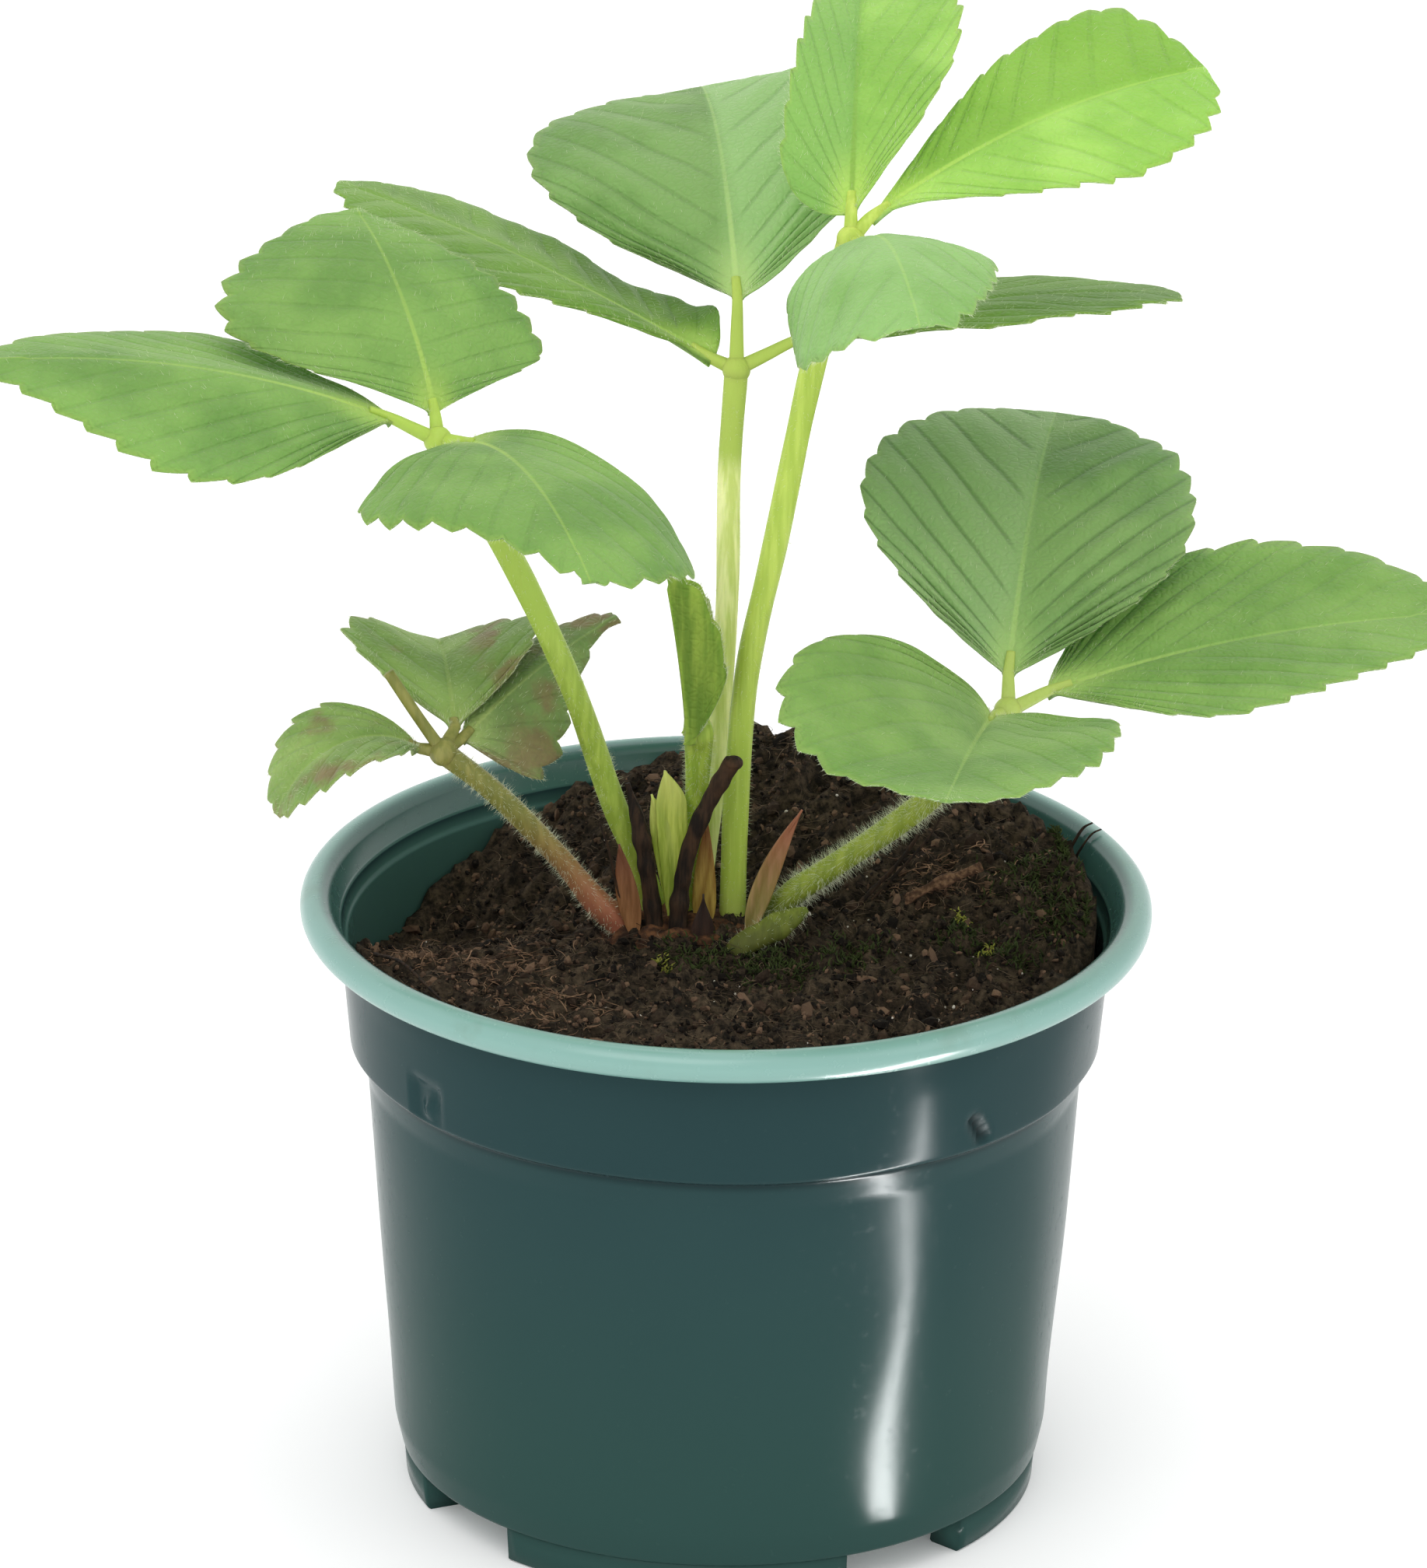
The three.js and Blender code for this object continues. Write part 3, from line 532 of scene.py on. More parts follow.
# %% Shape the ground
SOIL_LEVEL = 83.0
SOIL_RADIUS = 51.6
MOUNDS = [(15, 42, 20, 11), (50, 12, 18, 4), (0, -44, 16, 1.5), (-42, 18, 14, -12)]
ROUGHNESS = 0.9
CLODS = [(7, 0.7, 11), (3.1, 0.5, 12), (1.3, 0.22, 13)]
BELOW_GROUND = [(51.4, 67), (49.0, 62), (45.2, 9.8), (44.0, 6.8), (0.5, 6.8)]
SOIL_SIDES, SOIL_RINGS = 288, 104


def bell(x, y, middle_x, middle_y, spread):
    """A bell-shaped hump from 0 to 1 round a middle."""
    return np.exp(-((x - middle_x) ** 2 + (y - middle_y) ** 2) / (2 * spread**2))


def on_ground(x, y):
    """Points on the soil: its level, mounds and hollows, crossed sine waves, and clods of three sizes."""
    z = SOIL_LEVEL + 0 * x
    for *place, rise in MOUNDS:
        z = z + rise * bell(x, y, *place)
    z = z + ROUGHNESS * (np.sin(x * 0.61 + 1.3 * np.sin(y * 0.37)) * np.sin(y * 0.53 + 0.8)
                         + 0.5 * np.sin(x * 1.13 - y * 0.91))
    for size, rise, seed in CLODS:
        z = z + rise * ripple(np.stack([x, y], -1), size, seed)
    return np.stack([x, y, z], -1)


ring = np.linspace(0.02, 1, SOIL_RINGS)[:, None] * (SOIL_RADIUS + 0.6)
turn = np.linspace(0, 2 * np.pi, SOIL_SIDES, endpoint=False)
under = np.stack([around(r, turn, z) for r, z in BELOW_GROUND])
soil_points = np.concatenate([on_ground(ring * np.cos(turn), ring * np.sin(turn)), under])
soil_faces = grid_faces(len(soil_points), SOIL_SIDES, closed=True)[:, ::-1]
lids = np.array([np.arange(SOIL_SIDES), np.arange(SOIL_SIDES)[::-1] + (len(soil_points) - 1) * SOIL_SIDES])
print("soil from", soil_points[..., 2].min(), "to", soil_points[..., 2].max().round(1), "mm")

# %% Colour the peat
peat = Finish("peat", roughness=0.95, specular_ior_level=0.15)
brown = peat.grain(1.4, rgb(28, 24, 19), rgb(92, 78, 62), relief=0.7, detail=6, roughness=0.7)
damp = peat.noise(11, detail=2).step(0.42, 0.66)
peat.colour(peat.mix(damp * 0.5, brown, rgb(24, 19, 16)))
add_piece("soil_ground", soil_points, [soil_faces, lids], peat, node="soil")

# %% Scatter crumbs
CRUMBS, FIBRES, SPECKS = 8400, 4200, 70
DRY_PATCHES = [(-31, -16, 6), (-44, -11, 4), (-25, -32, 6), (30, 8, 5)]
DAMP_PATCH = (0, -3, 14)
chance = np.random.default_rng(41)
golden = (1 + 5**0.5) / 2
ICO = unit(np.array([(-1, golden, 0), (1, golden, 0), (-1, -golden, 0), (1, -golden, 0), (0, -1, golden),
                     (0, 1, golden), (0, -1, -golden), (0, 1, -golden), (golden, 0, -1), (golden, 0, 1),
                     (-golden, 0, -1), (-golden, 0, 1)], float))
ICO_FACES = np.array([(0, 11, 5), (0, 5, 1), (0, 1, 7), (0, 7, 10), (0, 10, 11), (1, 5, 9), (5, 11, 4),
                      (11, 10, 2), (10, 7, 6), (7, 1, 8), (3, 9, 4), (3, 4, 2), (3, 2, 6), (3, 6, 8),
                      (3, 8, 9), (4, 9, 5), (2, 4, 11), (6, 2, 10), (8, 6, 7), (9, 8, 1)])


def scattered(count, lift=0.0, reach=SOIL_RADIUS - 1.2):
    """Random points on the ground, spread evenly over its area."""
    r = reach * np.sqrt(chance.uniform(0, 1, count))
    a = chance.uniform(0, 2 * np.pi, count)
    return on_ground(r * np.cos(a), r * np.sin(a)) + [0, 0, lift]


def random_turns(count):
    """Random rotation matrices: a random direction, another one square to it, and their cross product."""
    first = unit(chance.normal(size=(count, 3)))
    second = unit(np.cross(first, chance.normal(size=(count, 3))))
    return np.stack([first, second, np.cross(first, second)], -1)


def lumps(at, size, flatness=0.75):
    """Crumbs: a twenty-sided ball for each point, turned at random and squashed unevenly."""
    scale = size[:, None] * chance.uniform(0.35, 1.4, (len(at), 3)) * [1, 1, flatness]
    places = np.concatenate([random_turns(len(at)) * scale[:, None], at[:, :, None]], -1)
    return many(ICO, ICO_FACES, places)


at = scattered(CRUMBS)
size = np.clip(chance.lognormal(-1.25, 0.55, CRUMBS), 0.14, 1.4)
at[:, 2] += size * 0.25
crumb_points, crumb_faces = lumps(at, size)
crumb_points += 0.12 * ripple(crumb_points, 1.3, 21)[:, None] * size.repeat(len(ICO))[:, None]
dry = sum(bell(*at[:, :2].T, *patch) for patch in DRY_PATCHES)
wet = bell(*at[:, :2].T, *DAMP_PATCH)
tone = np.repeat(chance.uniform(0, 1, CRUMBS) ** 1.9 + 0.4 * dry - 0.4 * wet, len(ICO))
crumb = Finish("peat_crumb", roughness=0.95, specular_ior_level=0.15)
speckle = crumb.noise(0.7, detail=4)
brown = crumb.mix(crumb.attribute("tone").step(0.1, 1.0), rgb(22, 18, 15), rgb(116, 92, 74))
crumb.colour(crumb.mix(speckle.step(0.5, 0.8) * 0.4, brown, rgb(108, 92, 76)))
crumb.bump(speckle, 0.3)
add_piece("soil_crumbs", crumb_points, [crumb_faces], crumb, attributes={"tone": tone}, smooth=False)


# %% Strew fibres and white specks
def strands(root, heading, length, width, sag, turns):
    """Thin three-sided strands. Each runs from its root along its heading, bends aside and sags."""
    share = np.linspace(0, 1, turns)
    aside = unit(np.cross(heading, [0, 0, 1.0]) + 1e-6)
    bend = chance.normal(0, 0.22, (len(root), 1, 1)) * np.sin(np.pi * share)[None, :, None]
    path = root[:, None] + heading[:, None] * (length[:, None] * share)[..., None]
    path = path + aside[:, None] * bend * length[:, None, None]
    path[..., 2] -= (sag * length)[:, None] * share**2
    up = unit(np.cross(heading, aside))
    slim = (width[:, None] * (1 - 0.6 * share))[..., None]
    rings = [path + slim * (aside[:, None] * math.cos(c) + up[:, None] * math.sin(c))
             for c in np.radians([90, 210, 330])]
    size = turns * 3
    first = (np.arange(len(root)) * size)[:, None]
    quads = grid_faces(turns, 3, closed=True)[None] + first[..., None]
    caps = np.concatenate([first + [2, 1, 0], first + size + [-3, -2, -1]])
    return np.stack(rings, 2).reshape(-1, 3), [quads.reshape(-1, 4), caps]


def level_headings(count, lowest, highest):
    """Random headings all round, that rise or fall a little."""
    spin = chance.uniform(0, 2 * np.pi, count)
    return unit(around(1, spin, chance.uniform(lowest, highest, count)))


at = scattered(FIBRES, 0.35, SOIL_RADIUS - 3)
fibre_points, fibre_faces = strands(at, level_headings(FIBRES, -0.1, 0.35), chance.uniform(1, 4.5, FIBRES),
                                    chance.uniform(0.025, 0.07, FIBRES), chance.uniform(0.1, 0.4, FIBRES), 5)
from_axis = np.hypot(fibre_points[:, 0], fibre_points[:, 1])
fibre_points[:, :2] *= np.minimum(1, (SOIL_RADIUS - 0.3) / np.maximum(from_axis, 1))[:, None]
fibre = Finish("peat_fibre", roughness=0.85, specular_ior_level=0.2)
fibre.colour(fibre.grain(5, rgb(48, 38, 30), rgb(122, 104, 84)))
add_piece("soil_fibres", fibre_points, fibre_faces, fibre)

at = scattered(SPECKS, 0.5)
speck_points, speck_faces = lumps(at, np.clip(chance.lognormal(-1.55, 0.4, SPECKS), 0.12, 0.6))
sand = Finish("sand_speck", roughness=0.6)
sand.colour(sand.mix(sand.noise(1), rgb(170, 160, 145), rgb(222, 216, 205)))
add_piece("soil_specks", speck_points, [speck_faces], sand, smooth=False)

# %% [markdown]
# ### Moss and chaff
#
# Damp compost grows moss in patches, and dry compost is strewn with chaff. The places of the blades and bits
# are drawn round the middle of their patch, so the patches have soft edges.

# %% Grow the moss and strew the chaff
MOSS_PATCHES = [(-4, -13, 4, 260), (7, -16, 5, 420), (47, -2, 5, 320), (44, 9, 5, 260), (33, -8, 3, 140),
                (40, -14, 3, 140), (52, 20, 3, 120), (18, -12, 4, 200)]
BRIGHT_TUFTS = [(-8.8, -14.6, 0.9, 40), (36.4, -11.5, 0.9, 40), (33, -3.2, 0.7, 24)]
CHAFF_IN_PATCH = 190
MOSS_WIDTH = MOSS_SAG = 0.2


def clumped(patches):
    """Places on the ground drawn round the middles of patches: x, y, spread and a number of places each."""
    x, y, spread, counts = np.array(patches).T
    counts = counts.astype(int)
    middles = np.repeat(np.stack([x, y], -1), counts, 0)
    spot = middles + chance.normal(size=middles.shape) * np.repeat(spread, counts)[:, None] * 0.7
    spot *= np.minimum(1, (SOIL_RADIUS - 0.8) / np.maximum(np.hypot(*spot.T), 1))[:, None]
    return on_ground(*spot.T)


def tufts(name, patches, tallest, low, high):
    """One piece of short upright blades in patches."""
    at = clumped(patches)
    heading = unit(np.stack([*chance.normal(0, 0.5, (2, len(at))), np.ones(len(at))], -1))
    points, faces = strands(at, heading, chance.uniform(0.7, tallest, len(at)), np.full(len(at), MOSS_WIDTH),
                            np.full(len(at), MOSS_SAG), 4)
    moss = Finish(name, roughness=0.8, specular_ior_level=0.2)
    moss.colour(moss.mix(moss.noise(2.5), low, high))
    add_piece(name, points, faces, moss)


tufts("moss_patches", MOSS_PATCHES, 1.9, rgb(30, 40, 20), rgb(70, 82, 36))
tufts("bright_tufts", BRIGHT_TUFTS, 1.6, rgb(120, 124, 44), rgb(176, 176, 84))

at = clumped([(*patch, CHAFF_IN_PATCH) for patch in DRY_PATCHES]) + [0, 0, 0.4]
chaff_points, chaff_faces = strands(at, level_headings(len(at), -0.1, 0.7), chance.uniform(0.8, 3.2, len(at)),
                                    chance.uniform(0.05, 0.12, len(at)), chance.uniform(0.1, 0.5, len(at)), 4)
chaff = Finish("dry_chaff", roughness=0.85, specular_ior_level=0.2)
chaff.colour(chaff.grain(3, rgb(96, 72, 54), rgb(168, 134, 106)))
add_piece("dry_chaff", chaff_points, chaff_faces, chaff)

# %% [markdown]
# ## Stalks
#
# A leaf stalk is a tube along a smooth curve. The curve is the centripetal Catmull-Rom spline that the CAD
# model draws through the same points, so the fine tube lies on the CAD one. The rings turn with the curve,
# and the tube is wide at its sheathing foot. Three faint grooves run down it, so it isn't a plain pipe.

# %% Carry a ring along a smooth curve
FLARE_SHARE = 0.35
UNEVEN, UNEVEN_SIZE = 0.03, 14


def smooth_path(points, count):
    """Centripetal Catmull-Rom: each piece is a cubic whose end slopes weigh the gaps by their square root."""
    points = np.array(points, float)
    padded = np.concatenate([[2 * points[0] - points[1]], points, [2 * points[-1] - points[-2]]])
    share = np.linspace(0, 1, 40, endpoint=False)[:, None]
    pieces = []
    for p0, p1, p2, p3 in zip(padded[:-3], padded[1:-2], padded[2:-1], padded[3:]):
        d0, d1, d2 = (math.sqrt(np.linalg.norm(b - a)) for a, b in ((p0, p1), (p1, p2), (p2, p3)))
        start = ((p1 - p0) / d0 - (p2 - p0) / (d0 + d1) + (p2 - p1) / d1) * d1
        end = ((p2 - p1) / d1 - (p3 - p1) / (d1 + d2) + (p3 - p2) / d2) * d1
        pieces.append(p1 + share * start + share**2 * (3 * (p2 - p1) - 2 * start - end)
                      + share**3 * (2 * (p1 - p2) + start + end))
    line = np.concatenate([*pieces, points[-1:]])
    run = np.concatenate([[0], np.cumsum(np.linalg.norm(np.diff(line, axis=0), axis=1))])
    even = np.linspace(0, run[-1], count)
    return np.stack([np.interp(even, run, line[:, k]) for k in range(3)], 1)


def path_frame(line):
    """The line's own direction at each point, and two square to it: the first also to one steady axis."""
    along = unit(np.gradient(line, axis=0))
    steady = np.eye(3)[np.argmin(np.abs(along).mean(0))]
    side = unit(np.cross(along, steady))
    return along, side, np.cross(along, side)


def tube(line, radius, sides=16, groove=0.04):
    """Closed tube: a ring at each point, its radius waved three times round, and a point at each end."""
    along, side, up = path_frame(line)
    turn = np.linspace(0, 2 * np.pi, sides, endpoint=False)
    shape = np.asarray(radius)[:, None] * (1 + groove * np.cos(3 * turn))
    rings = line[:, None] + shape[..., None] * (side[:, None] * np.cos(turn)[:, None]
                                                + up[:, None] * np.sin(turn)[:, None])
    points = np.concatenate([rings.reshape(-1, 3), line[:1], line[-1:]])
    last = (len(line) - 1) * sides
    step = np.arange(sides)
    beside = (step + 1) % sides
    start = np.stack([beside, step, np.full(sides, len(points) - 2)], 1)
    end = np.stack([step + last, beside + last, np.full(sides, len(points) - 1)], 1)
    return points, [grid_faces(len(line), sides, closed=True), np.concatenate([start, end])]


def stalk_line(stalk, count=90):
    """The stalk's curve and its radius: wide at the foot, even above the lowest third."""
    line = smooth_path(stalk["path"], count)
    share = np.linspace(0, 1, count)
    radius = stalk["radius"] + (stalk["flare"] - stalk["radius"]) * np.clip(1 - share / FLARE_SHARE, 0, 1)
    return line, radius * (1 + UNEVEN * ripple(line, UNEVEN_SIZE, 3))


def ball(at, radius, squash=1.0):
    """A closed ball: rings from pole to pole, their radius the cosine of their latitude."""
    rise = np.linspace(-np.pi / 2, np.pi / 2, 14)
    line = np.array(at) + around(0, 0 * rise, np.sin(rise) * radius * squash)
    return tube(line, np.maximum(np.cos(rise) * radius, 0.01), sides=18, groove=0)


def direction(heading, rise):
    """The direction with this heading, counter-clockwise from +X, and this rise above level, in degrees."""
    h, r = np.radians(heading), np.radians(rise)
    return np.stack([np.cos(h) * np.cos(r), np.sin(h) * np.cos(r), np.sin(r) + 0 * h], -1)


# %% [markdown]
# ## Leaflets
#
# A strawberry leaflet is a thin sheet with a straight midrib, straight side veins that each end in a tooth,
# and soft pleats between them. The sheet is a function of two numbers. The first runs along the margin and
# counts the teeth, and the second runs from the left margin over the midrib to the right one. A row of the
# grid starts on the midrib and runs out and forward as the side veins do, so teeth, veins and pleats all
# follow the rows. Each half is tilted by its fold, which fades from its value at the base to its value at
# the tip, and is curled evenly out to the margin.
#
# Each leaflet is one `sheet`: where its base lies, which way it points, how it rises at base and tip, its
# length, the width and the place of the widest point of its two halves, and how each half is folded at the
# base, folded at the tip and curled. Angles are in degrees. What most leaflets share is a default.

# %% Name the leaves and their leaflets
DEFAULTS = {"turn": 0, "roll": 0, "teeth": 10, "wedge": (1, 1), "blunt": (0.55, 0.55), "reach": 4.5,
            "fade": 4, "pleat": (0.16, 0.1)}


def sheet(root, heading, rise, length, width, peak, left, right, **special):
    """A leaflet's root is the heading, rise and length of its short stalk. A scale's root is a point."""
    return {**DEFAULTS, "root": root, "heading": heading, "rise": rise, "length": length, "width": width,
            "peak": peak, "left": left, "right": right, **special}


def stem(radius, flare, *path):
    """A stalk: its radius, its radius at the foot, and the points that its curve runs through."""
    return {"radius": radius, "flare": flare, "path": path}


LEAVES = {
    "a": {
        "stalk": stem(1.75, 1.8, (-9.5, 2.5, 79.5), (-10.6, 2.1, 87), (-15.9, 0, 101.5), (-21.9, -6, 121.8),
                      (-31.1, -10, 143.6), (-40.3, -14, 160.6)),
        "leaflets": {
            "left": sheet((186, 28, 7), 190, (25, -6), 59, (20, 18), (0.42, 0.42), (-18, -18, -10),
                          (-5, -8, -5), turn=-8, roll=-5, blunt=(1.1, 0.8)),
            "end": sheet((104, 58, 3.6), 119, (66, 2), 38, (24, 20), (0.52, 0.2), (0, -5, -15),
                         (0, -8, -10), turn=-10, roll=2, wedge=(1.1, 1.3), blunt=(0.55, 1.1), reach=1.6,
                         pleat=(0.08, 0.03)),
            "right": sheet((320, 10, 5), 294, (22, -35), 46, (24, 21), (0.75, 0.25), (20, -5, -45),
                           (0, 0, -35), teeth=9, wedge=(1, 0.8), blunt=(0.5, 1.2)),
        },
    },
    "b": {
        "stalk": stem(1.6, 1.7, (-4, 5, 79.5), (-3.6, 5.3, 87), (-1.6, 7, 106.6), (-0.4, 9, 128.9),
                      (-0.3, 11, 148), (0.5, 14, 161.4)),
        "leaflets": {
            "left": sheet((165, 20, 3.6), 158, (24, 11), 60, (15.5, 15.5), (0.55, 0.6), (0, 0, 0),
                          (115, -4, 0), roll=8, wedge=(1.7, 0.45), blunt=(0.55, 0.6), reach=1.6, fade=14,
                          pleat=(0.3, 0.1)),
            "end": sheet((90, 80, 10), 96, (42, -12), 55.5, (26.5, 23), (0.58, 0.55), (-25, 2, 0),
                         (10, 5, 0), roll=-8, wedge=(1, 0.7), pleat=(0.3, 0.12)),
            "right": sheet((10, 25, 9), 14, (14, -8), 56, (16, 15.5), (0.5, 0.5), (0, 0, 0), (0, -3, 0),
                           roll=-10, teeth=9),
        },
    },
    "c": {
        "stalk": stem(1.75, 1.85, (0.9, 1, 79.5), (1, 1, 86), (1.3, 1, 101.7), (2.6, 1, 121.1),
                      (6.3, 1, 140.5), (11.3, 2, 167), (16, 2, 184.9)),
        "leaflets": {
            "end": sheet((90, 70, 3.6), 88, (45, -2), 55, (9.5, 14), (0.14, 0.6), (-35, 25, 0), (30, 10, 0),
                         teeth=9, wedge=(0.45, 0.8), blunt=(0.7, 0.6), pleat=(0.13, 0.03)),
            "right": sheet((20, 45, 4), 30, (28, 0), 56, (16, 17.5), (0.86, 0.6), (5, 14, 0), (5, -10, 0),
                           roll=5, wedge=(1.2, 1.3), blunt=(0.5, 0.55), reach=1.8),
            "left": sheet((290, 0, 3.6), 280, (35, -25), 46, (14, 20), (0.5, 0.7), (0, 0, -30),
                          (-10, -10, -70), teeth=9, wedge=(1, 0.6)),
        },
    },
    "d": {
        "stalk": stem(1.7, 2, (5.6, -1.2, 79.5), (6.3, -1.4, 84.5), (9.3, -2.9, 89.3), (14.1, -5, 93.8),
                      (28.6, -10.3, 107.5), (38.7, -14, 121.8)),
        "leaflets": {
            "left": sheet((230, 0, 3.6), 262, (14, 4), 52.5, (20, 26.5), (0.45, 0.55), (20, 10, 0),
                          (60, 0, 0), roll=-5, fade=1.5),
            "end": sheet((90, 60, 5), 82, (45, -5), 58.5, (23.7, 22.4), (0.52, 0.48), (10, 5, 0),
                         (10, -2, 0), wedge=(0.85, 0.8), pleat=(0.32, 0.22)),
            "right": sheet((10, 25, 6), 18, (14, -2), 61, (20.5, 17.5), (0.48, 0.38), (12, 8, 0),
                           (-5, 0, 0), turn=-6, roll=8, wedge=(0.85, 1), blunt=(0.6, 0.65)),
        },
    },
    "e": {
        "stalk": stem(1.6, 2.3, (-13.2, -1.4, 79.5), (-14.8, -2, 84), (-18, -3.4, 87.7), (-23, -5, 94.8),
                      (-32.7, -9, 106.9), (-39.6, -11, 113.4)),
        "spur": stem(0.8, 0.9, (-39.6, -11, 113.4), (-43.2, -11, 118.8), (-47.2, -10.6, 125)),
        "leaflets": {
            "left": sheet((180, 10, 3.6), 204, (38, -75), 26, (10, 9), (0.4, 0.4), (5, 5, 0), (20, 10, 0),
                          teeth=6, blunt=(0.7, 0.7)),
            "end": sheet((60, 40, 4), 97, (30, -15), 26, (14, 13), (0.58, 0.58), (20, 20, 0), (20, 20, 0),
                         teeth=6),
            "right": sheet((40, 20, 3.6), 50, (25, 5), 34, (6, 10.8), (0.45, 0.18), (0, 0, 0),
                           (-56, -56, 0), teeth=6, wedge=(1, 0.7), blunt=(0.55, 1.9)),
        },
    },
}
print("leaflets:", sum(len(leaf["leaflets"]) for leaf in LEAVES.values()))

# %% Name the small pieces
# The young leaf is still folded: three leaflets side by side, each shut along its midrib
YOUNG_STALK = stem(1.5, 1.6, (-5.8, 1, 79.5), (-5.7, 0.9, 87), (-4.5, 0.4, 100.9), (-4.2, -0.7, 107),
                   (-4.1, -1.2, 112.5))
YOUNG_BLADES = [
    sheet((-4.9, -3.1, 112), 180, (84, 79), 26, (5.6, 5.6), (0.45, 0.45), (80, 80, 0), (80, 80, 0), teeth=3,
          reach=2.6),
    sheet((-5, -1.1, 112.5), 180, (88, 84), 22, (4.2, 4.2), (0.45, 0.45), (80, 80, 0), (80, 80, 0), teeth=3,
          reach=2.6),
    sheet((-5.2, 0.9, 112), 180, (88, 86), 19, (3.6, 3.6), (0.45, 0.45), (80, 80, 0), (80, 80, 0), teeth=3,
          reach=2.6),
]

# Stipules are the dry or fleshy scales at the foot of the stalks
STIPULES = {
    "stipule_green": [
        sheet((-7.7, -2.2, 82), 180, (89, 86), 25.5, (1.6, 2.8), (0.75, 0.8), (4, 4, 0), (4, 4, 0),
              roll=-90, teeth=0, blunt=(1, 1)),
        sheet((-7.7, -2, 83), 180, (87, 77), 21, (1.3, 1.6), (0.7, 0.7), (4, 4, 0), (4, 4, 0), roll=-90,
              teeth=0, blunt=(1, 1)),
    ],
    "stipule_pink": [
        sheet((2.9, -4.6, 82), 0, (80, 60), 22.2, (1.5, 1.6), (0.35, 0.4), (12, 12, 0), (12, 12, 0),
              roll=80, teeth=0, blunt=(1, 1)),
    ],
    "stipule_amber": [
        sheet((-3.1, -2.3, 82), 80, (84, 88), 18, (1.8, 1.6), (0.3, 0.3), (-10, -10, 0), (-10, -10, 0),
              teeth=0, blunt=(1, 1)),
    ],
    "stipule_brown": [
        sheet((-12.6, -5, 81.6), 180, (86, 76), 16, (1.9, 1.3), (0.5, 0.4), (-10, -10, 0), (-10, -10, 0),
              roll=-85, teeth=0, blunt=(0.9, 0.9)),
    ],
    "stipule_dark": [
        sheet((-3.2, -6.6, 80.5), 90, (86, 90), 10, (2, 2), (0.25, 0.25), (-20, -20, 0), (-20, -20, 0),
              teeth=0, blunt=(1.4, 1.4)),
    ],
}

# Cut and withered stalks, the sheath that is left of one, and a fallen twig
OLD_STALKS = {
    "old_stalk_left": stem(1.25, 1.3, (-9.7, -3.3, 79.5), (-9.9, -3.4, 84.3), (-12, -3.4, 98.5),
                           (-14, -2.2, 105.5)),
    "old_stalk_right": stem(1.2, 1.4, (-6, -4.6, 79.5), (-6.6, -4.6, 85), (-5.4, -4.7, 95.6),
                            (-3, -5.2, 102.9), (0.8, -6, 110.6)),
    "old_sheath": stem(1.8, 1.5, (0.6, -10.4, 82), (2.9, -10.5, 84.8), (6.2, -10.4, 86.8), (9, -10, 88.4),
                       (11.4, -9.6, 89.8)),
}
TWIG = [(21.6, 1, 84.6), (28, 3.4, 87.6), (36, 6.4, 90)]
print("scales:", sum(len(leaflets) for leaflets in STIPULES.values()))

# %% Follow the midrib and the margin
STEPS, MARGIN_STEPS = 400, 1200
TOOTH_START = 0.2


def along_midrib(leaflet, share):
    """Heading and rise, in degrees, at shares of the midrib's length."""
    low, high = leaflet["rise"]
    return leaflet["heading"] + leaflet["turn"] * share, low + (high - low) * share


def midrib(leaflet, start, u):
    """The midrib at shares u of its length, summed from short steps, and the blade's right and up there."""
    share = np.linspace(0, 1, STEPS)
    steps = direction(*along_midrib(leaflet, share)) * leaflet["length"] / (STEPS - 1)
    walk = start + np.concatenate([np.zeros((1, 3)), np.cumsum((steps[1:] + steps[:-1]) / 2, 0)])
    held = np.clip(u, 0, 1)
    centre = np.stack([np.interp(held, share, walk[:, k]) for k in range(3)], -1)
    heading, rise = along_midrib(leaflet, held)
    along = direction(heading, rise)
    centre = centre + along * (np.maximum(u - 1, 0) * leaflet["length"])[..., None]
    across = direction(heading - 90, 0 * heading)
    up = np.cross(across, along)
    roll = math.radians(leaflet["roll"])
    right = across * math.cos(roll) - up * math.sin(roll)
    return centre, right, up * math.cos(roll) + across * math.sin(roll)


def half_width(leaflet, side, u):
    """Half width in millimetres: a quarter sine up to the peak and another down to the tip, each to a power.

    A power below 1 makes that end of the leaflet full, and one above 1 makes it hollow.
    """
    peak = leaflet["peak"][side]
    up = np.sin(np.pi / 2 * np.clip(u / peak, 0, 1)) ** leaflet["wedge"][side]
    down = np.sin(np.pi / 2 * np.clip((1 - u) / (1 - peak), 0, 1)) ** leaflet["blunt"][side]
    return leaflet["width"][side] * np.where((u <= 0) | (u >= 1), 0, np.where(u < peak, up, down))


def margin_stations(leaflet, side, share):
    """Shares of the midrib's length that lie at these shares of the margin's own length."""
    u = np.linspace(0, 1, MARGIN_STEPS)
    width = half_width(leaflet, side, u)
    run = np.concatenate([[0], np.cumsum(np.hypot(np.diff(u) * leaflet["length"], np.diff(width)))])
    return np.interp(share * run[-1], run, u)


def margin_rows(leaflet, per_tooth):
    """Shares along the margin, and at each one the count of teeth so far with its fraction.

    Without teeth the count stays far below zero, where no vein is drawn.
    """
    teeth = leaflet["teeth"]
    if teeth == 0:
        share = np.linspace(0, 1, 40)
        return share, share * 4 - 6
    pitch = (1 - TOOTH_START) / (teeth + 0.5)
    base = np.linspace(0, TOOTH_START, per_tooth, endpoint=False)
    share = np.concatenate([base, np.linspace(TOOTH_START, 1, round(per_tooth * (teeth + 0.5)) + 1)])
    return share, (share - TOOTH_START) / pitch


# %% Work out the surface of a leaflet
THICKNESS = 0.5
TOOTH_DEPTH = 1.9
VEIN_AT, VEIN_WIDTH = 0.64, 0.06
WAVE_SIZE, WAVE_HEIGHT = 17, 0.35
RIB_DEPTH, RIB_WIDTH = 0.3, 0.7
KEEL_DEPTH, KEEL_WIDTH = 0.9, 0.8
NARROWEST, NARROWEST_SCALE = 0.8, 0.15


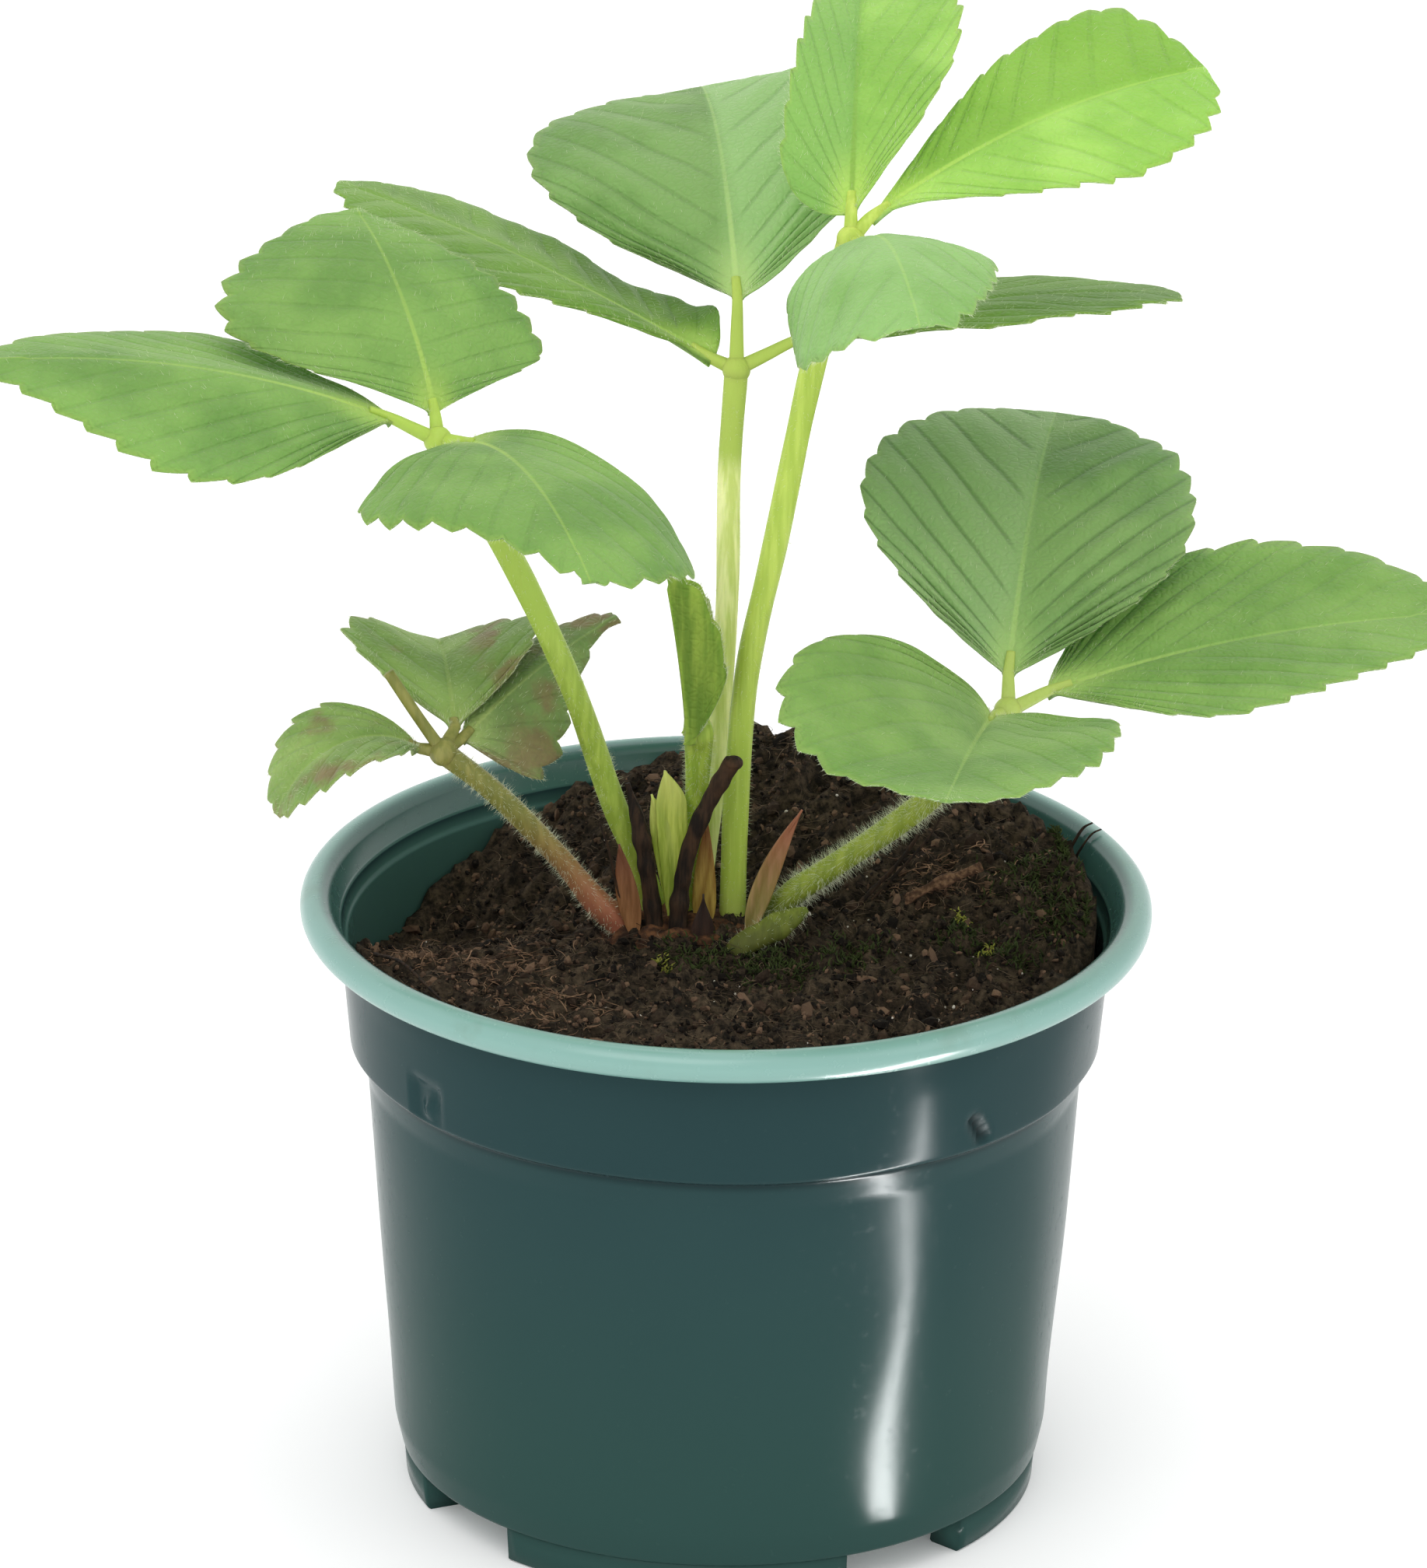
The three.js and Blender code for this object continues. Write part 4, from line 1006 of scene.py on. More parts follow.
def tooth_outline(phase, seed):
    """How far the margin stands out at a count of teeth. Each tooth rises to its vein."""
    within = np.where(phase > 0, phase % 1, 0)
    tooth = np.minimum(within / VEIN_AT, (1 - within) / (1 - VEIN_AT)) ** 0.75
    return tooth * (0.8 + 0.25 * np.sin(7.3 * np.floor(phase) + seed))


def pleat_relief(leaflet, phase):
    """Soft pleats between the side veins, and a fine groove along each vein."""
    height, groove = leaflet["pleat"]
    off_vein = np.abs((phase - VEIN_AT + 0.5) % 1 - 0.5)
    return -height * np.cos(2 * np.pi * (phase - VEIN_AT)) - groove * np.exp(-((off_vein / VEIN_WIDTH) ** 2))


def blade_points(leaflet, start, share, phase, t, thickness=THICKNESS, seed=1):
    """Upper and lower points of the blade, as grids over the margin shares and the cross shares t.

    A row runs from the midrib out and forward to the margin, and the teeth stretch its outer end.
    """
    toothed = leaflet["teeth"] > 0
    tooth = tooth_outline(phase, seed)
    pleat = pleat_relief(leaflet, phase) * (np.clip(phase + 2.2, 0, 1) * toothed)
    station = np.stack([margin_stations(leaflet, side, share) for side in (0, 1)])
    mean = station.mean(0)
    rib = mean ** leaflet["reach"]
    side = (t > 0).astype(int)
    sign = np.where(t < 0, -1, 1)
    out = np.abs(t)
    at = station[side].T
    width = np.array(leaflet["width"])[side]
    both = np.stack([half_width(leaflet, k, station[k]) for k in (0, 1)])
    half = np.maximum(both[side].T, NARROWEST if toothed else NARROWEST_SCALE)
    reach = np.hypot((at - rib[:, None]) * leaflet["length"], half)
    stretch = 1 + out**3 * (tooth * toothed)[:, None] * TOOTH_DEPTH / np.maximum(reach, 4)
    u = rib[:, None] + (at - rib[:, None]) * out * stretch
    distance = half * out * stretch

    # Each half is tilted by its fold and then follows an arc. Where it is narrow, it can't be tilted as far
    folds = np.array([leaflet["left"], leaflet["right"]], float)[side]
    left_over = (1 - np.minimum(u, 1)) ** leaflet["fade"]
    fold = np.radians(folds[:, 1] + (folds[:, 0] - folds[:, 1]) * left_over)
    steepest = np.arctan(0.8 * half / 0.7)
    fold = np.clip(fold, -steepest, steepest)
    bend = np.radians(folds[:, 2]) / width
    bend = np.where(np.abs(bend) < 1e-6, 1e-6, bend)
    tilt = fold + bend * distance
    level = (np.sin(tilt) - np.sin(fold)) / bend
    height = (np.cos(fold) - np.cos(tilt)) / bend

    # Pleats, waves and the sunk midrib lift the sheet along its own upward direction
    centre, right, normal = midrib(leaflet, start, u)
    soft = np.minimum(out * half / 1.2, 1)
    lean = (sign * np.sin(tilt) * soft)[..., None]
    up = unit(normal * np.cos(tilt * soft)[..., None] - right * lean)
    points = centre + right * (sign * level)[..., None] + normal * height[..., None]
    wave = WAVE_HEIGHT * ripple(points, WAVE_SIZE, seed) * np.minimum(distance / 8, 1)
    near = np.minimum(distance / 9, 1) * np.sin(np.pi * np.minimum(out, 0.85))
    lift = pleat[:, None] * near + wave
    lift = lift - RIB_DEPTH * np.exp(-((distance / RIB_WIDTH) ** 2)) * (mean < 0.97)[:, None]
    points = points + up * lift[..., None]
    thin = thickness * (1 - 0.4 * out**6)
    keel = KEEL_DEPTH * (1 - mean[:, None]) ** 1.5 * np.exp(-((distance / KEEL_WIDTH) ** 2))
    upper = points + up * (thin / 2)[..., None]
    lower = points - up * (thin / 2 + keel)[..., None]
    return upper, lower, distance, np.clip(u, 0, 1)


# %% Close a blade
def blade(leaflet, start, per_tooth=14, columns=16, thickness=THICKNESS, seed=1):
    """A closed leaflet: the two grids and a strip round their edge, with what the material needs to know."""
    share, phase = margin_rows(leaflet, per_tooth)
    spread = np.linspace(0, 1, columns) ** 1.25
    t = np.concatenate([-spread[:0:-1], spread])
    upper, lower, distance, u = blade_points(leaflet, start, share, phase, t, thickness, seed)
    rows, across = upper.shape[:2]
    faces = grid_faces(rows, across)
    number = np.arange(rows * across).reshape(rows, across)
    edge = np.concatenate([number[0, :-1], number[:-1, -1], number[-1, :0:-1], number[:0:-1, 0]])
    after = np.roll(edge, -1)
    below = rows * across
    rim = np.stack([edge, edge + below, after + below, after], 1)
    points = np.concatenate([upper.reshape(-1, 3), lower.reshape(-1, 3)])
    notes = {
        "phase": np.tile(np.repeat(phase, across), 2),
        "across": np.tile(distance.ravel(), 2),
        "margin": np.tile(np.abs(t), 2 * rows),
        "along": np.tile(u.ravel(), 2),
        "upper": np.repeat([1.0, 0.0], below),
        "half": np.tile(np.clip(t * 6 + 0.5, 0, 1), 2 * rows),
    }
    return points, [faces, faces[:, ::-1] + below, rim], notes


def blades(leaflets, seeds, **how):
    """Several blades whose roots are points, as one piece."""
    made = [blade(leaflet, leaflet["root"], seed=seed, **how) for leaflet, seed in zip(leaflets, seeds)]
    points, faces = join([(points, faces) for points, faces, _ in made])
    return points, faces, {key: np.concatenate([notes[key] for *_, notes in made]) for key in made[0][2]}


# %% [markdown]
# ### Leaf green
#
# Each leaf has its own green: the old low leaf is olive with brown patches, and the youngest grown leaf is a
# bright yellow-green. The upper side is darker than the lower one. Midrib and base are pale, the side veins
# are thin and painted dark, a painted shade for their sunk grooves, and a fine net of veins fills the fields
# between them. On a few leaflets one half gets a tint of its own: painted light and shade for the part of the
# sky that half faces.

# %% Make a leaf finish
def leaf_finish(name, deep, light, pale, under, veins=0.12, rib_colour=None, brown=0.0, left=None, right=None,
                streaks=0.0):
    """A leaf's skin. The vein pattern comes from the attributes of its grid, the fine net from its place.

    left and right tint one half of the blade with painted light and shade: the halves of a cupped leaflet
    face different parts of the sky, so a darker tint is painted shade and a lighter one is painted light.
    """
    leaf = Finish(name, roughness=0.6, specular_ior_level=0.3, sheen_weight=0.1, sheen_roughness=0.5,
                  subsurface_weight=0.12, subsurface_scale=0.004, subsurface_radius=(0.3, 0.9, 0.15))
    phase, across, margin, along = (leaf.attribute(key) for key in ("phase", "across", "margin", "along"))
    off_vein = ((phase - VEIN_AT + 0.5).fraction() - 0.5).abs()
    side_vein = off_vein.step(0.1, 0.015) * phase.step(-1.5, -0.5) * across.step(0.5, 3)
    rib = (across / (0.62 - 0.42 * along)).step(1.0, 0.3) * (along.step(0.5, 0.08) * 0.5 + 0.35)
    net = leaf.cells(1.1)
    mottle = leaf.noise(2.2, detail=4)
    green = leaf.mix(leaf.noise(16).step(0.35, 0.65), deep, light)
    green = leaf.mix(mottle.step(0.45, 0.8) * 0.3, green, light)
    # Painted light and shade on one half of the blade, in the tint given as left or right
    if left:
        green = leaf.mix((1 - leaf.attribute("half")) * 0.7, green, left)
    if right:
        green = leaf.mix(leaf.attribute("half") * 0.7, green, right)
    green = leaf.mix(net.step(0.1, 0.0) * 0.12, green, deep)
    # Painted shade: the sunk side veins are darkened in colour on the upper side
    green = leaf.mix(side_vein * veins, green, [c * 0.62 for c in deep[:3]] + [1.0])
    green = leaf.mix(along.step(0.24, 0.0) * across.step(5, 0.5) * 0.8, green, pale)
    green = leaf.mix(rib * 0.85, green, rib_colour or pale)
    hair = leaf.noise(0.45, detail=2).step(0.68, 0.78)
    green = leaf.mix(hair * 0.16, green, rgb(208, 220, 190))
    green = leaf.mix(margin.step(0.95, 1.0) * 0.25, green, pale)
    below = leaf.mix(side_vein * (0.1 if streaks else 0.6), under, pale)
    if streaks:
        long_streak = leaf.noise(1.6, detail=4, upright=0.09).step(0.35, 0.7) * streaks
        green, below = (leaf.mix(long_streak, face, pale) for face in (green, below))
    below = leaf.mix(rib * 0.8, below, pale)
    skin = leaf.mix(leaf.attribute("upper"), below, green)
    if brown:
        rust = leaf.noise(9, detail=4).step(0.62 - brown, 0.72 - brown * 0.6) * margin.step(0.1, 0.8)
        skin = leaf.mix(rust * 0.85, skin, leaf.mix(mottle, rgb(110, 84, 66), rgb(142, 120, 84)))
    leaf.colour(skin)
    leaf.roughness(0.64 - rib * 0.1)
    leaf.bump(net.step(0.0, 0.3) * 0.4 + mottle * 0.3 - side_vein * 0.5, 0.2)
    return leaf


# %% Mix the greens
GREENS = {
    "a": leaf_finish("leaf_mid_green", rgb(100, 136, 64), rgb(122, 158, 78), rgb(166, 194, 90),
                     rgb(110, 142, 74)),
    "b": leaf_finish("leaf_cool_green", rgb(92, 128, 44), rgb(112, 148, 58), rgb(162, 192, 90),
                     rgb(100, 134, 50)),
    # leaf c: the left half is tinted darker, painted shade
    "c": leaf_finish("leaf_bright_green", rgb(128, 174, 70), rgb(152, 196, 90), rgb(182, 216, 96),
                     rgb(146, 186, 100), rib_colour=rgb(122, 160, 56), left=rgb(120, 164, 84)),
    "d": leaf_finish("leaf_deep_green", rgb(102, 138, 62), rgb(124, 158, 78), rgb(164, 192, 100),
                     rgb(110, 138, 76)),
    "e": leaf_finish("leaf_olive_green", rgb(112, 140, 68), rgb(148, 174, 96), rgb(160, 180, 100),
                     rgb(116, 134, 78), brown=0.12),
}
SPECIAL = {
    ("e", "right"): leaf_finish("leaf_worn_green", rgb(104, 128, 72), rgb(134, 154, 92), rgb(160, 176, 104),
                                rgb(112, 126, 84), brown=0.2),
    # the right half of the middle leaflet of leaf b is tinted lighter, painted light
    ("b", "end"): leaf_finish("leaf_ribbed_green", rgb(100, 134, 68), rgb(122, 156, 88), rgb(174, 202, 122),
                              rgb(108, 138, 80), veins=0.25, right=rgb(152, 190, 120)),
    ("c", "left"): leaf_finish("leaf_soft_green", rgb(122, 164, 86), rgb(140, 180, 106), rgb(170, 204, 104),
                               rgb(140, 178, 104)),
    # the left half of the right leaflet of leaf c is tinted darker, painted shade
    ("c", "right"): leaf_finish("leaf_fresh_green", rgb(136, 184, 72), rgb(160, 206, 92), rgb(182, 216, 96),
                                rgb(146, 186, 100), veins=0.2, left=rgb(112, 156, 42)),
    # the left half of the middle leaflet of leaf d is tinted lighter, painted light
    ("d", "end"): leaf_finish("leaf_veined_green", rgb(98, 132, 70), rgb(122, 154, 88), rgb(158, 188, 108),
                              rgb(104, 134, 80), veins=0.5, left=rgb(140, 170, 112)),
}
print("leaf finishes:", len(GREENS) + len(SPECIAL))

# %% [markdown]
# ### Leaflets with their hairs
#
# Fine silky hairs stand out from the edge of a leaflet and lean forward on its upper side. A texture of hairs
# would vanish at the outline, where hairs show most, so each one is a slim three-sided spike. Its root is a
# point drawn at random on the margin or on the sheet.

# %% Shape the hairs of a leaflet
HAIR_SHAPE = np.array([(1.0, 0, 0), (-0.5, 0.87, 0), (-0.5, -0.87, 0), (0, 0, 1)])
HAIR_FACES = np.array([(0, 1, 3), (1, 2, 3), (2, 0, 3), (2, 1, 0)])
MARGIN_HAIR_WIDTH, SKIN_HAIR_WIDTH, STALK_HAIR_WIDTH = 0.028, 0.02, 0.024


def hairs(roots, pointing, length, width):
    """Stiff fine hairs: a slim closed spike for each root, lying along its direction."""
    aside = unit(np.cross(pointing, chance.normal(size=pointing.shape)))
    axes = np.stack([aside * width, np.cross(pointing, aside) * width, pointing * length[:, None]], -1)
    points, faces = many(HAIR_SHAPE, HAIR_FACES, np.concatenate([axes, roots[:, :, None]], -1))
    return points, [faces]


def leaflet_start(stalk, leaflet):
    """Where a blade starts: the end of its short stalk, which grows from the fork."""
    heading, rise, length = leaflet["root"]
    return stalk["path"][-1] + direction(heading, rise) * length


def margin_hairs(leaflet, start, count, seed):
    """Hairs that stand out from both margins of a blade, in the plane of the blade."""
    share, phase = margin_rows(leaflet, 14)
    t = np.array([-1.0, -0.9, 0.9, 1.0])
    upper, lower, *_ = blade_points(leaflet, start, share, phase, t, seed=seed)
    middle = (upper + lower) / 2
    pick = chance.integers(6, len(share), count)
    left = chance.random(count)[:, None] < 0.5
    edge = np.where(left, middle[pick, 0], middle[pick, 3])
    inner = np.where(left, middle[pick, 1], middle[pick, 2])
    pointing = unit(unit(edge - inner) + chance.normal(0, 0.35, edge.shape))
    return hairs(edge - pointing * 0.2, pointing, chance.uniform(0.5, 1.3, count), MARGIN_HAIR_WIDTH)


def skin_hairs(leaflet, start, count, seed):
    """Short hairs that lie forward on the upper side, thickest near the base."""
    share, phase = margin_rows(leaflet, 8)
    t = np.linspace(-0.95, 0.95, 31)
    upper, lower, *_ = blade_points(leaflet, start, share, phase, t, seed=seed)
    row = (chance.random(count) ** 1.6 * (len(share) - 2)).astype(int)
    column = chance.integers(0, 30, count)
    slide = chance.random((2, count, 1))
    corner = upper[row, column]
    onward, beside = upper[row + 1, column] - corner, upper[row, column + 1] - corner
    up = unit(corner - lower[row, column])
    pointing = unit(up + 0.8 * unit(onward) + chance.normal(0, 0.4, corner.shape))
    roots = corner + onward * slide[0] + beside * slide[1]
    return hairs(roots, pointing, chance.uniform(0.4, 1.0, count), SKIN_HAIR_WIDTH)


# %% Grow every leaflet with its hairs
MARGIN_HAIRS, SKIN_HAIRS = 420, 380
hair_parts = []
for leaf_index, (key, leaf) in enumerate(LEAVES.items()):
    for place, leaflet in leaf["leaflets"].items():
        seed = 10 * leaf_index + len(place)
        start = leaflet_start(leaf["stalk"], leaflet)
        points, faces, notes = blade(leaflet, start, seed=seed)
        finish = SPECIAL.get((key, place), GREENS[key])
        add_piece(f"blade_{key}_{place}", points, faces, finish,
                  node=f"leaflet_{key}_{place}", attributes=notes)
        hair_parts.append(margin_hairs(leaflet, start, MARGIN_HAIRS, seed))
        hair_parts.append(skin_hairs(leaflet, start, SKIN_HAIRS, seed))

# %% [markdown]
# ## Stalks, hairs and the short stalks of the leaflets
#
# The stalk, its fork and the three short stalks grew as one, so they are one piece. Strawberry stalks are
# clothed in silky hairs. Each hair is a slim spike of real geometry, a tenth of a millimetre thick at most,
# and the low stalk on the right has the densest coat.

# %% Make the stalk finish
def stalk_finish(name, low, high, foot, foot_top=92, rough=0.5, crest=None, crest_from=200):
    """A stalk's skin: streaked along its length, tinted near the soil, and tinted again above crest_from."""
    stalk = Finish(name, roughness=rough, specular_ior_level=0.4, subsurface_weight=0.15,
                   subsurface_scale=0.003, subsurface_radius=(0.5, 0.9, 0.2))
    body = stalk.grain(1.1, low, high, relief=0.25, upright=0.08)
    body = stalk.mix(stalk.noise(5).step(0.5, 0.75) * 0.35, body, low)
    if crest:
        body = stalk.mix(stalk.height().step(crest_from, crest_from + 5), body, crest)
    stalk.colour(stalk.mix(stalk.height().step(foot_top, 84.5) * 0.8, body, foot))
    return stalk


STALKS = {
    "a": stalk_finish("stalk_a_skin", rgb(150, 176, 66), rgb(176, 200, 86), rgb(164, 186, 80),
                      crest=rgb(164, 192, 76), crest_from=128),
    "b": stalk_finish("stalk_b_skin", rgb(200, 214, 120), rgb(240, 244, 176), rgb(196, 206, 116),
                      rough=0.7, crest=rgb(168, 190, 84), crest_from=146),
    "c": stalk_finish("stalk_c_skin", rgb(168, 194, 74), rgb(190, 212, 94), rgb(176, 194, 92)),
    "d": stalk_finish("stalk_d_skin", rgb(132, 150, 50), rgb(158, 172, 68), rgb(92, 106, 36),
                      crest=rgb(164, 184, 88), crest_from=116),
    "e": stalk_finish("stalk_e_skin", rgb(122, 124, 58), rgb(150, 146, 78), rgb(180, 100, 84), foot_top=106),
}
print("stalk finishes:", len(STALKS))

# %% Grow the stalks
PETIOLULE = 0.95
KNOB = 2.0
HAIRINESS = {"a": (1300, 1.0), "b": (1100, 0.8), "c": (1300, 0.9), "d": (3400, 1.9), "e": (1500, 1.3)}


def petiole(leaf):
    """Stalk, fork and short stalks as closed tubes that run into one another."""
    line, radius = stalk_line(leaf["stalk"])
    top = line[-1]
    parts = [tube(line, radius), ball(top, KNOB)]
    for leaflet in leaf["leaflets"].values():
        end = leaflet_start(leaf["stalk"], leaflet)
        ahead = midrib(leaflet, end, np.array([0.0, 0.06]))[0]
        run = smooth_path([top, top * 0.45 + end * 0.55, end, ahead[1]], 24)
        parts.append(tube(run, PETIOLULE * (1.15 - 0.5 * np.linspace(0, 1, 24)), groove=0.08))
    if "spur" in leaf:
        parts.append(tube(*stalk_line(leaf["spur"], 30), sides=12))
    return join(parts)


def tube_hairs(line, radius, count, longest, lowest=0.0):
    """Hairs all round a tube, standing out from it and leaning up or down at random."""
    along, side, up = path_frame(line)
    at = chance.uniform(lowest, 0.995, count) * (len(line) - 1)
    cell = at.astype(int)
    turn = chance.uniform(0, 2 * np.pi, count)
    out = side[cell] * np.cos(turn)[:, None] + up[cell] * np.sin(turn)[:, None]
    middle = line[cell] + (line[np.minimum(cell + 1, len(line) - 1)] - line[cell]) * (at - cell)[:, None]
    roots = middle + out * (radius[cell] * 0.97)[:, None]
    pointing = unit(out + along[cell] * chance.normal(0.1, 0.45, count)[:, None])
    return hairs(roots, pointing, chance.uniform(0.45, 1, count) * longest, STALK_HAIR_WIDTH)


for key, leaf in LEAVES.items():
    points, faces = petiole(leaf)
    add_piece(f"stalk_{key}", points, faces, STALKS[key], node=f"petiole_{key}")
    hair_parts.append(tube_hairs(*stalk_line(leaf["stalk"]), *HAIRINESS[key], lowest=0.06))

# %% [markdown]
# ## The young leaf and the scales
#
# In the middle stands a leaf that has not opened: three leaflets side by side, each shut like a book. Round
# its foot are the papery scales called stipules.

# %% Grow the young leaf
YOUNG_SEEDS = (60, 61, 62)
YOUNG_EDGE_HAIRS, YOUNG_STALK_HAIRS = 500, 1500
SWOLLEN_FROM, SWELLING = 0.6, 0.55

young_green = leaf_finish("leaf_young_green", rgb(86, 118, 30), rgb(120, 148, 44), rgb(160, 184, 70),
                          rgb(98, 130, 36), streaks=0.6)
points, faces, notes = blades(YOUNG_BLADES, YOUNG_SEEDS, per_tooth=16, columns=12)
add_piece("young_blades", points, faces, young_green, node="young_leaf", attributes=notes)
for leaflet, seed in zip(YOUNG_BLADES, YOUNG_SEEDS):
    hair_parts.append(margin_hairs(leaflet, leaflet["root"], YOUNG_EDGE_HAIRS, seed))

young_skin = stalk_finish("stalk_young_skin", rgb(136, 164, 52), rgb(170, 194, 76), rgb(170, 190, 80))
line, radius = stalk_line(YOUNG_STALK)
share = np.linspace(0, 1, len(line))
radius = radius + SWELLING * np.clip((share - SWOLLEN_FROM) / (1 - SWOLLEN_FROM), 0, 1) ** 1.5
points, faces = join([tube(line, radius), ball(line[-1], 2.1, squash=1.5)])
add_piece("young_stalk", points, faces, young_skin, node="young_leaf")
hair_parts.append(tube_hairs(line, radius, YOUNG_STALK_HAIRS, 1.2, lowest=0.1))

# %% Make the scales
SCALE_THICKNESS = 0.4
SCALE_SEED = 80
SCALES = {
    "stipule_green": (rgb(150, 172, 56), rgb(198, 212, 96), rgb(196, 204, 110), 0.6),
    "stipule_pink": (rgb(140, 132, 70), rgb(176, 150, 100), rgb(150, 84, 66), 0.1),
    "stipule_amber": (rgb(142, 112, 44), rgb(180, 154, 72), rgb(116, 66, 36), 0.3),
    "stipule_brown": (rgb(120, 80, 44), rgb(158, 112, 72), rgb(100, 56, 38), 0.3),
    "stipule_dark": (rgb(40, 26, 20), rgb(62, 42, 30), rgb(34, 22, 18), 0.3),
}


def scale_finish(name, low, high, tip, tip_start):
    """A dry or fleshy scale: fine streaks along it, and another tint towards its tip."""
    scale = Finish(name, roughness=0.6, specular_ior_level=0.35, subsurface_weight=0.15,
                   subsurface_scale=0.002, subsurface_radius=(0.8, 0.5, 0.2))
    body = scale.grain(0.8, low, high, relief=0.3, upright=0.12)
    scale.colour(scale.mix(scale.attribute("along").step(tip_start, 1.0) * 0.85, body, tip))
    return scale


for name, leaflets in STIPULES.items():
    seeds = [SCALE_SEED] * len(leaflets)
    points, faces, notes = blades(leaflets, seeds, columns=10, thickness=SCALE_THICKNESS)
    finish = scale_finish(f"{name}_skin", *SCALES[name])
    add_piece(f"{name}_scale", points, faces, finish, node=name,
              attributes=notes)

# %% [markdown]
# ## What is old and dry
#
# Two cut and withered stalks stand beside the young leaf, and an old sheath still holds some green. A twig
# has fallen on the soil, and thin dead strands stand in it, lie on it or lean on the rim. The woody crown,
# which every stalk grows from, shows a little husk between them.

# %% Make the withered stalks and the sheath
SHEATH_HAIRS = 260

withered = Finish("withered_stalk", roughness=0.8, specular_ior_level=0.25)
bark = withered.grain(0.9, rgb(24, 17, 12), rgb(62, 44, 30), relief=0.5, detail=4, upright=0.15)
withered.colour(withered.mix(withered.noise(6).step(0.5, 0.7) * 0.5, bark, rgb(84, 58, 36)))
sheath_skin = stalk_finish("old_sheath_skin", rgb(92, 106, 24), rgb(126, 138, 42), rgb(76, 78, 28), rough=0.7)


def worn(name, share):
    """How much of its radius an old stalk has left at shares of its length."""
    if name == "old_sheath":
        return np.sqrt(np.clip((1.02 - share) / 0.35, 0.02, 1))
    if name == "old_stalk_left":
        return np.clip((1.05 - share) / 0.3, 0.3, 1)
    return 1 + 0 * share


for name, stalk in OLD_STALKS.items():
    line, radius = stalk_line(stalk)
    radius = radius * worn(name, np.linspace(0, 1, len(line)))
    parts = [tube(line, radius * (1 + 0.08 * ripple(line, 3, 9)), groove=0.1)]
    if name == "old_stalk_right":
        parts.append(ball(line[-1] + [0, 0, -0.3], 1.35, squash=0.75))
    points, faces = join(parts)
    if name == "old_sheath":
        add_piece(f"{name}_skin", points, faces, sheath_skin, node=name)
        hair_parts.append(tube_hairs(line, radius, SHEATH_HAIRS, 1.4))
    else:
        add_piece(f"{name}_bark", points, faces, withered, node=name)

# %% Lay the twig and the dead strands
TWIG_RADIUS = 0.75
DEAD_STRANDS = [
    (0.4, (17, 1, 84), (20.5, 3, 87.5), (24.5, 4, 91.8), (30.5, 5, 101)),
    (0.25, (18.5, 1.5, 84.5), (23, 3, 89), (29, 3.5, 96.5), (31.5, 4.5, 102)),
    (0.3, (-49, -14, 84), (-45, -22, 86.2), (-41, -29, 85.4), (-37, -35, 84)),
    (0.3, (-14, -4.5, 86), (-15.6, -5, 92), (-16.6, -5.2, 97), (-17.8, -5, 100.5)),
    (0.35, (47.5, 22, 83), (49.5, 22.9, 87), (51, 23.6, 89.2), (52.2, 24.1, 89.7)),
    (0.25, (48.4, 20, 83), (50.6, 20.8, 87.2), (52.2, 21.4, 89.2), (53.4, 22.2, 89.5)),
]

wood = Finish("twig_wood", roughness=0.85, specular_ior_level=0.2)
wood.colour(wood.grain(0.8, rgb(66, 46, 34), rgb(126, 96, 72), relief=0.4))
line = smooth_path(TWIG, 50)
points, faces = tube(line, TWIG_RADIUS * (1 + 0.2 * ripple(line, 4, 8)), groove=0.12)
add_piece("twig_wood_piece", points, faces, wood, node="twig")

strand_parts = []
for thick, *path in DEAD_STRANDS:
    line = smooth_path(path, 40)
    radius = thick * (1 - 0.5 * np.linspace(0, 1, 40)) * (1 + 0.15 * ripple(line, 2, 6))
    strand_parts.append(tube(line, radius, sides=8))
points, faces = join(strand_parts)
add_piece("dead_strands", points, faces, withered)

# %% Make the crown
CROWN_AT, CROWN_SQUASH = (-6, -0.5), 0.72
CROWN_HEIGHTS, CROWN_RADII = [74, 78, 82.6, 84.4, 85.4], [7, 11, 12, 9, 2.5]

share = np.linspace(0, 4, 40)
height, radius = (np.interp(share, range(5), numbers) for numbers in (CROWN_HEIGHTS, CROWN_RADII))
line = around(0, 0 * share, height) + [*CROWN_AT, 0]
crown_points, crown_faces = tube(line, radius, sides=72, groove=0.02)
crown_points[:, 1] = CROWN_AT[1] + (crown_points[:, 1] - CROWN_AT[1]) * CROWN_SQUASH
crown_points[:, 2] += 0.5 * ripple(crown_points, 4, 31)
husk = Finish("crown_husk", roughness=0.85, specular_ior_level=0.2)
husk.colour(husk.grain(1.5, rgb(46, 30, 22), rgb(110, 74, 48), relief=0.6, detail=5))
add_piece("crown_husk_piece", crown_points, crown_faces, husk, node="crown")

# %% [markdown]
# ### The hairs
#
# Every leaf and stalk above has left its hairs in one list. Each hair could be an object of its own, or a
# copy that a particle system places. One mesh is simpler to hand on, and four triangles a hair keep it light.

# %% Make all the hairs one piece
silk = Finish("silky_hair", roughness=0.45, specular_ior_level=0.4)
silk.colour(silk.mix(silk.noise(8), rgb(198, 208, 160), rgb(232, 236, 214)))
hair_points, hair_faces = join(hair_parts)
add_piece("silky_hairs", hair_points, hair_faces, silk, smooth=False)

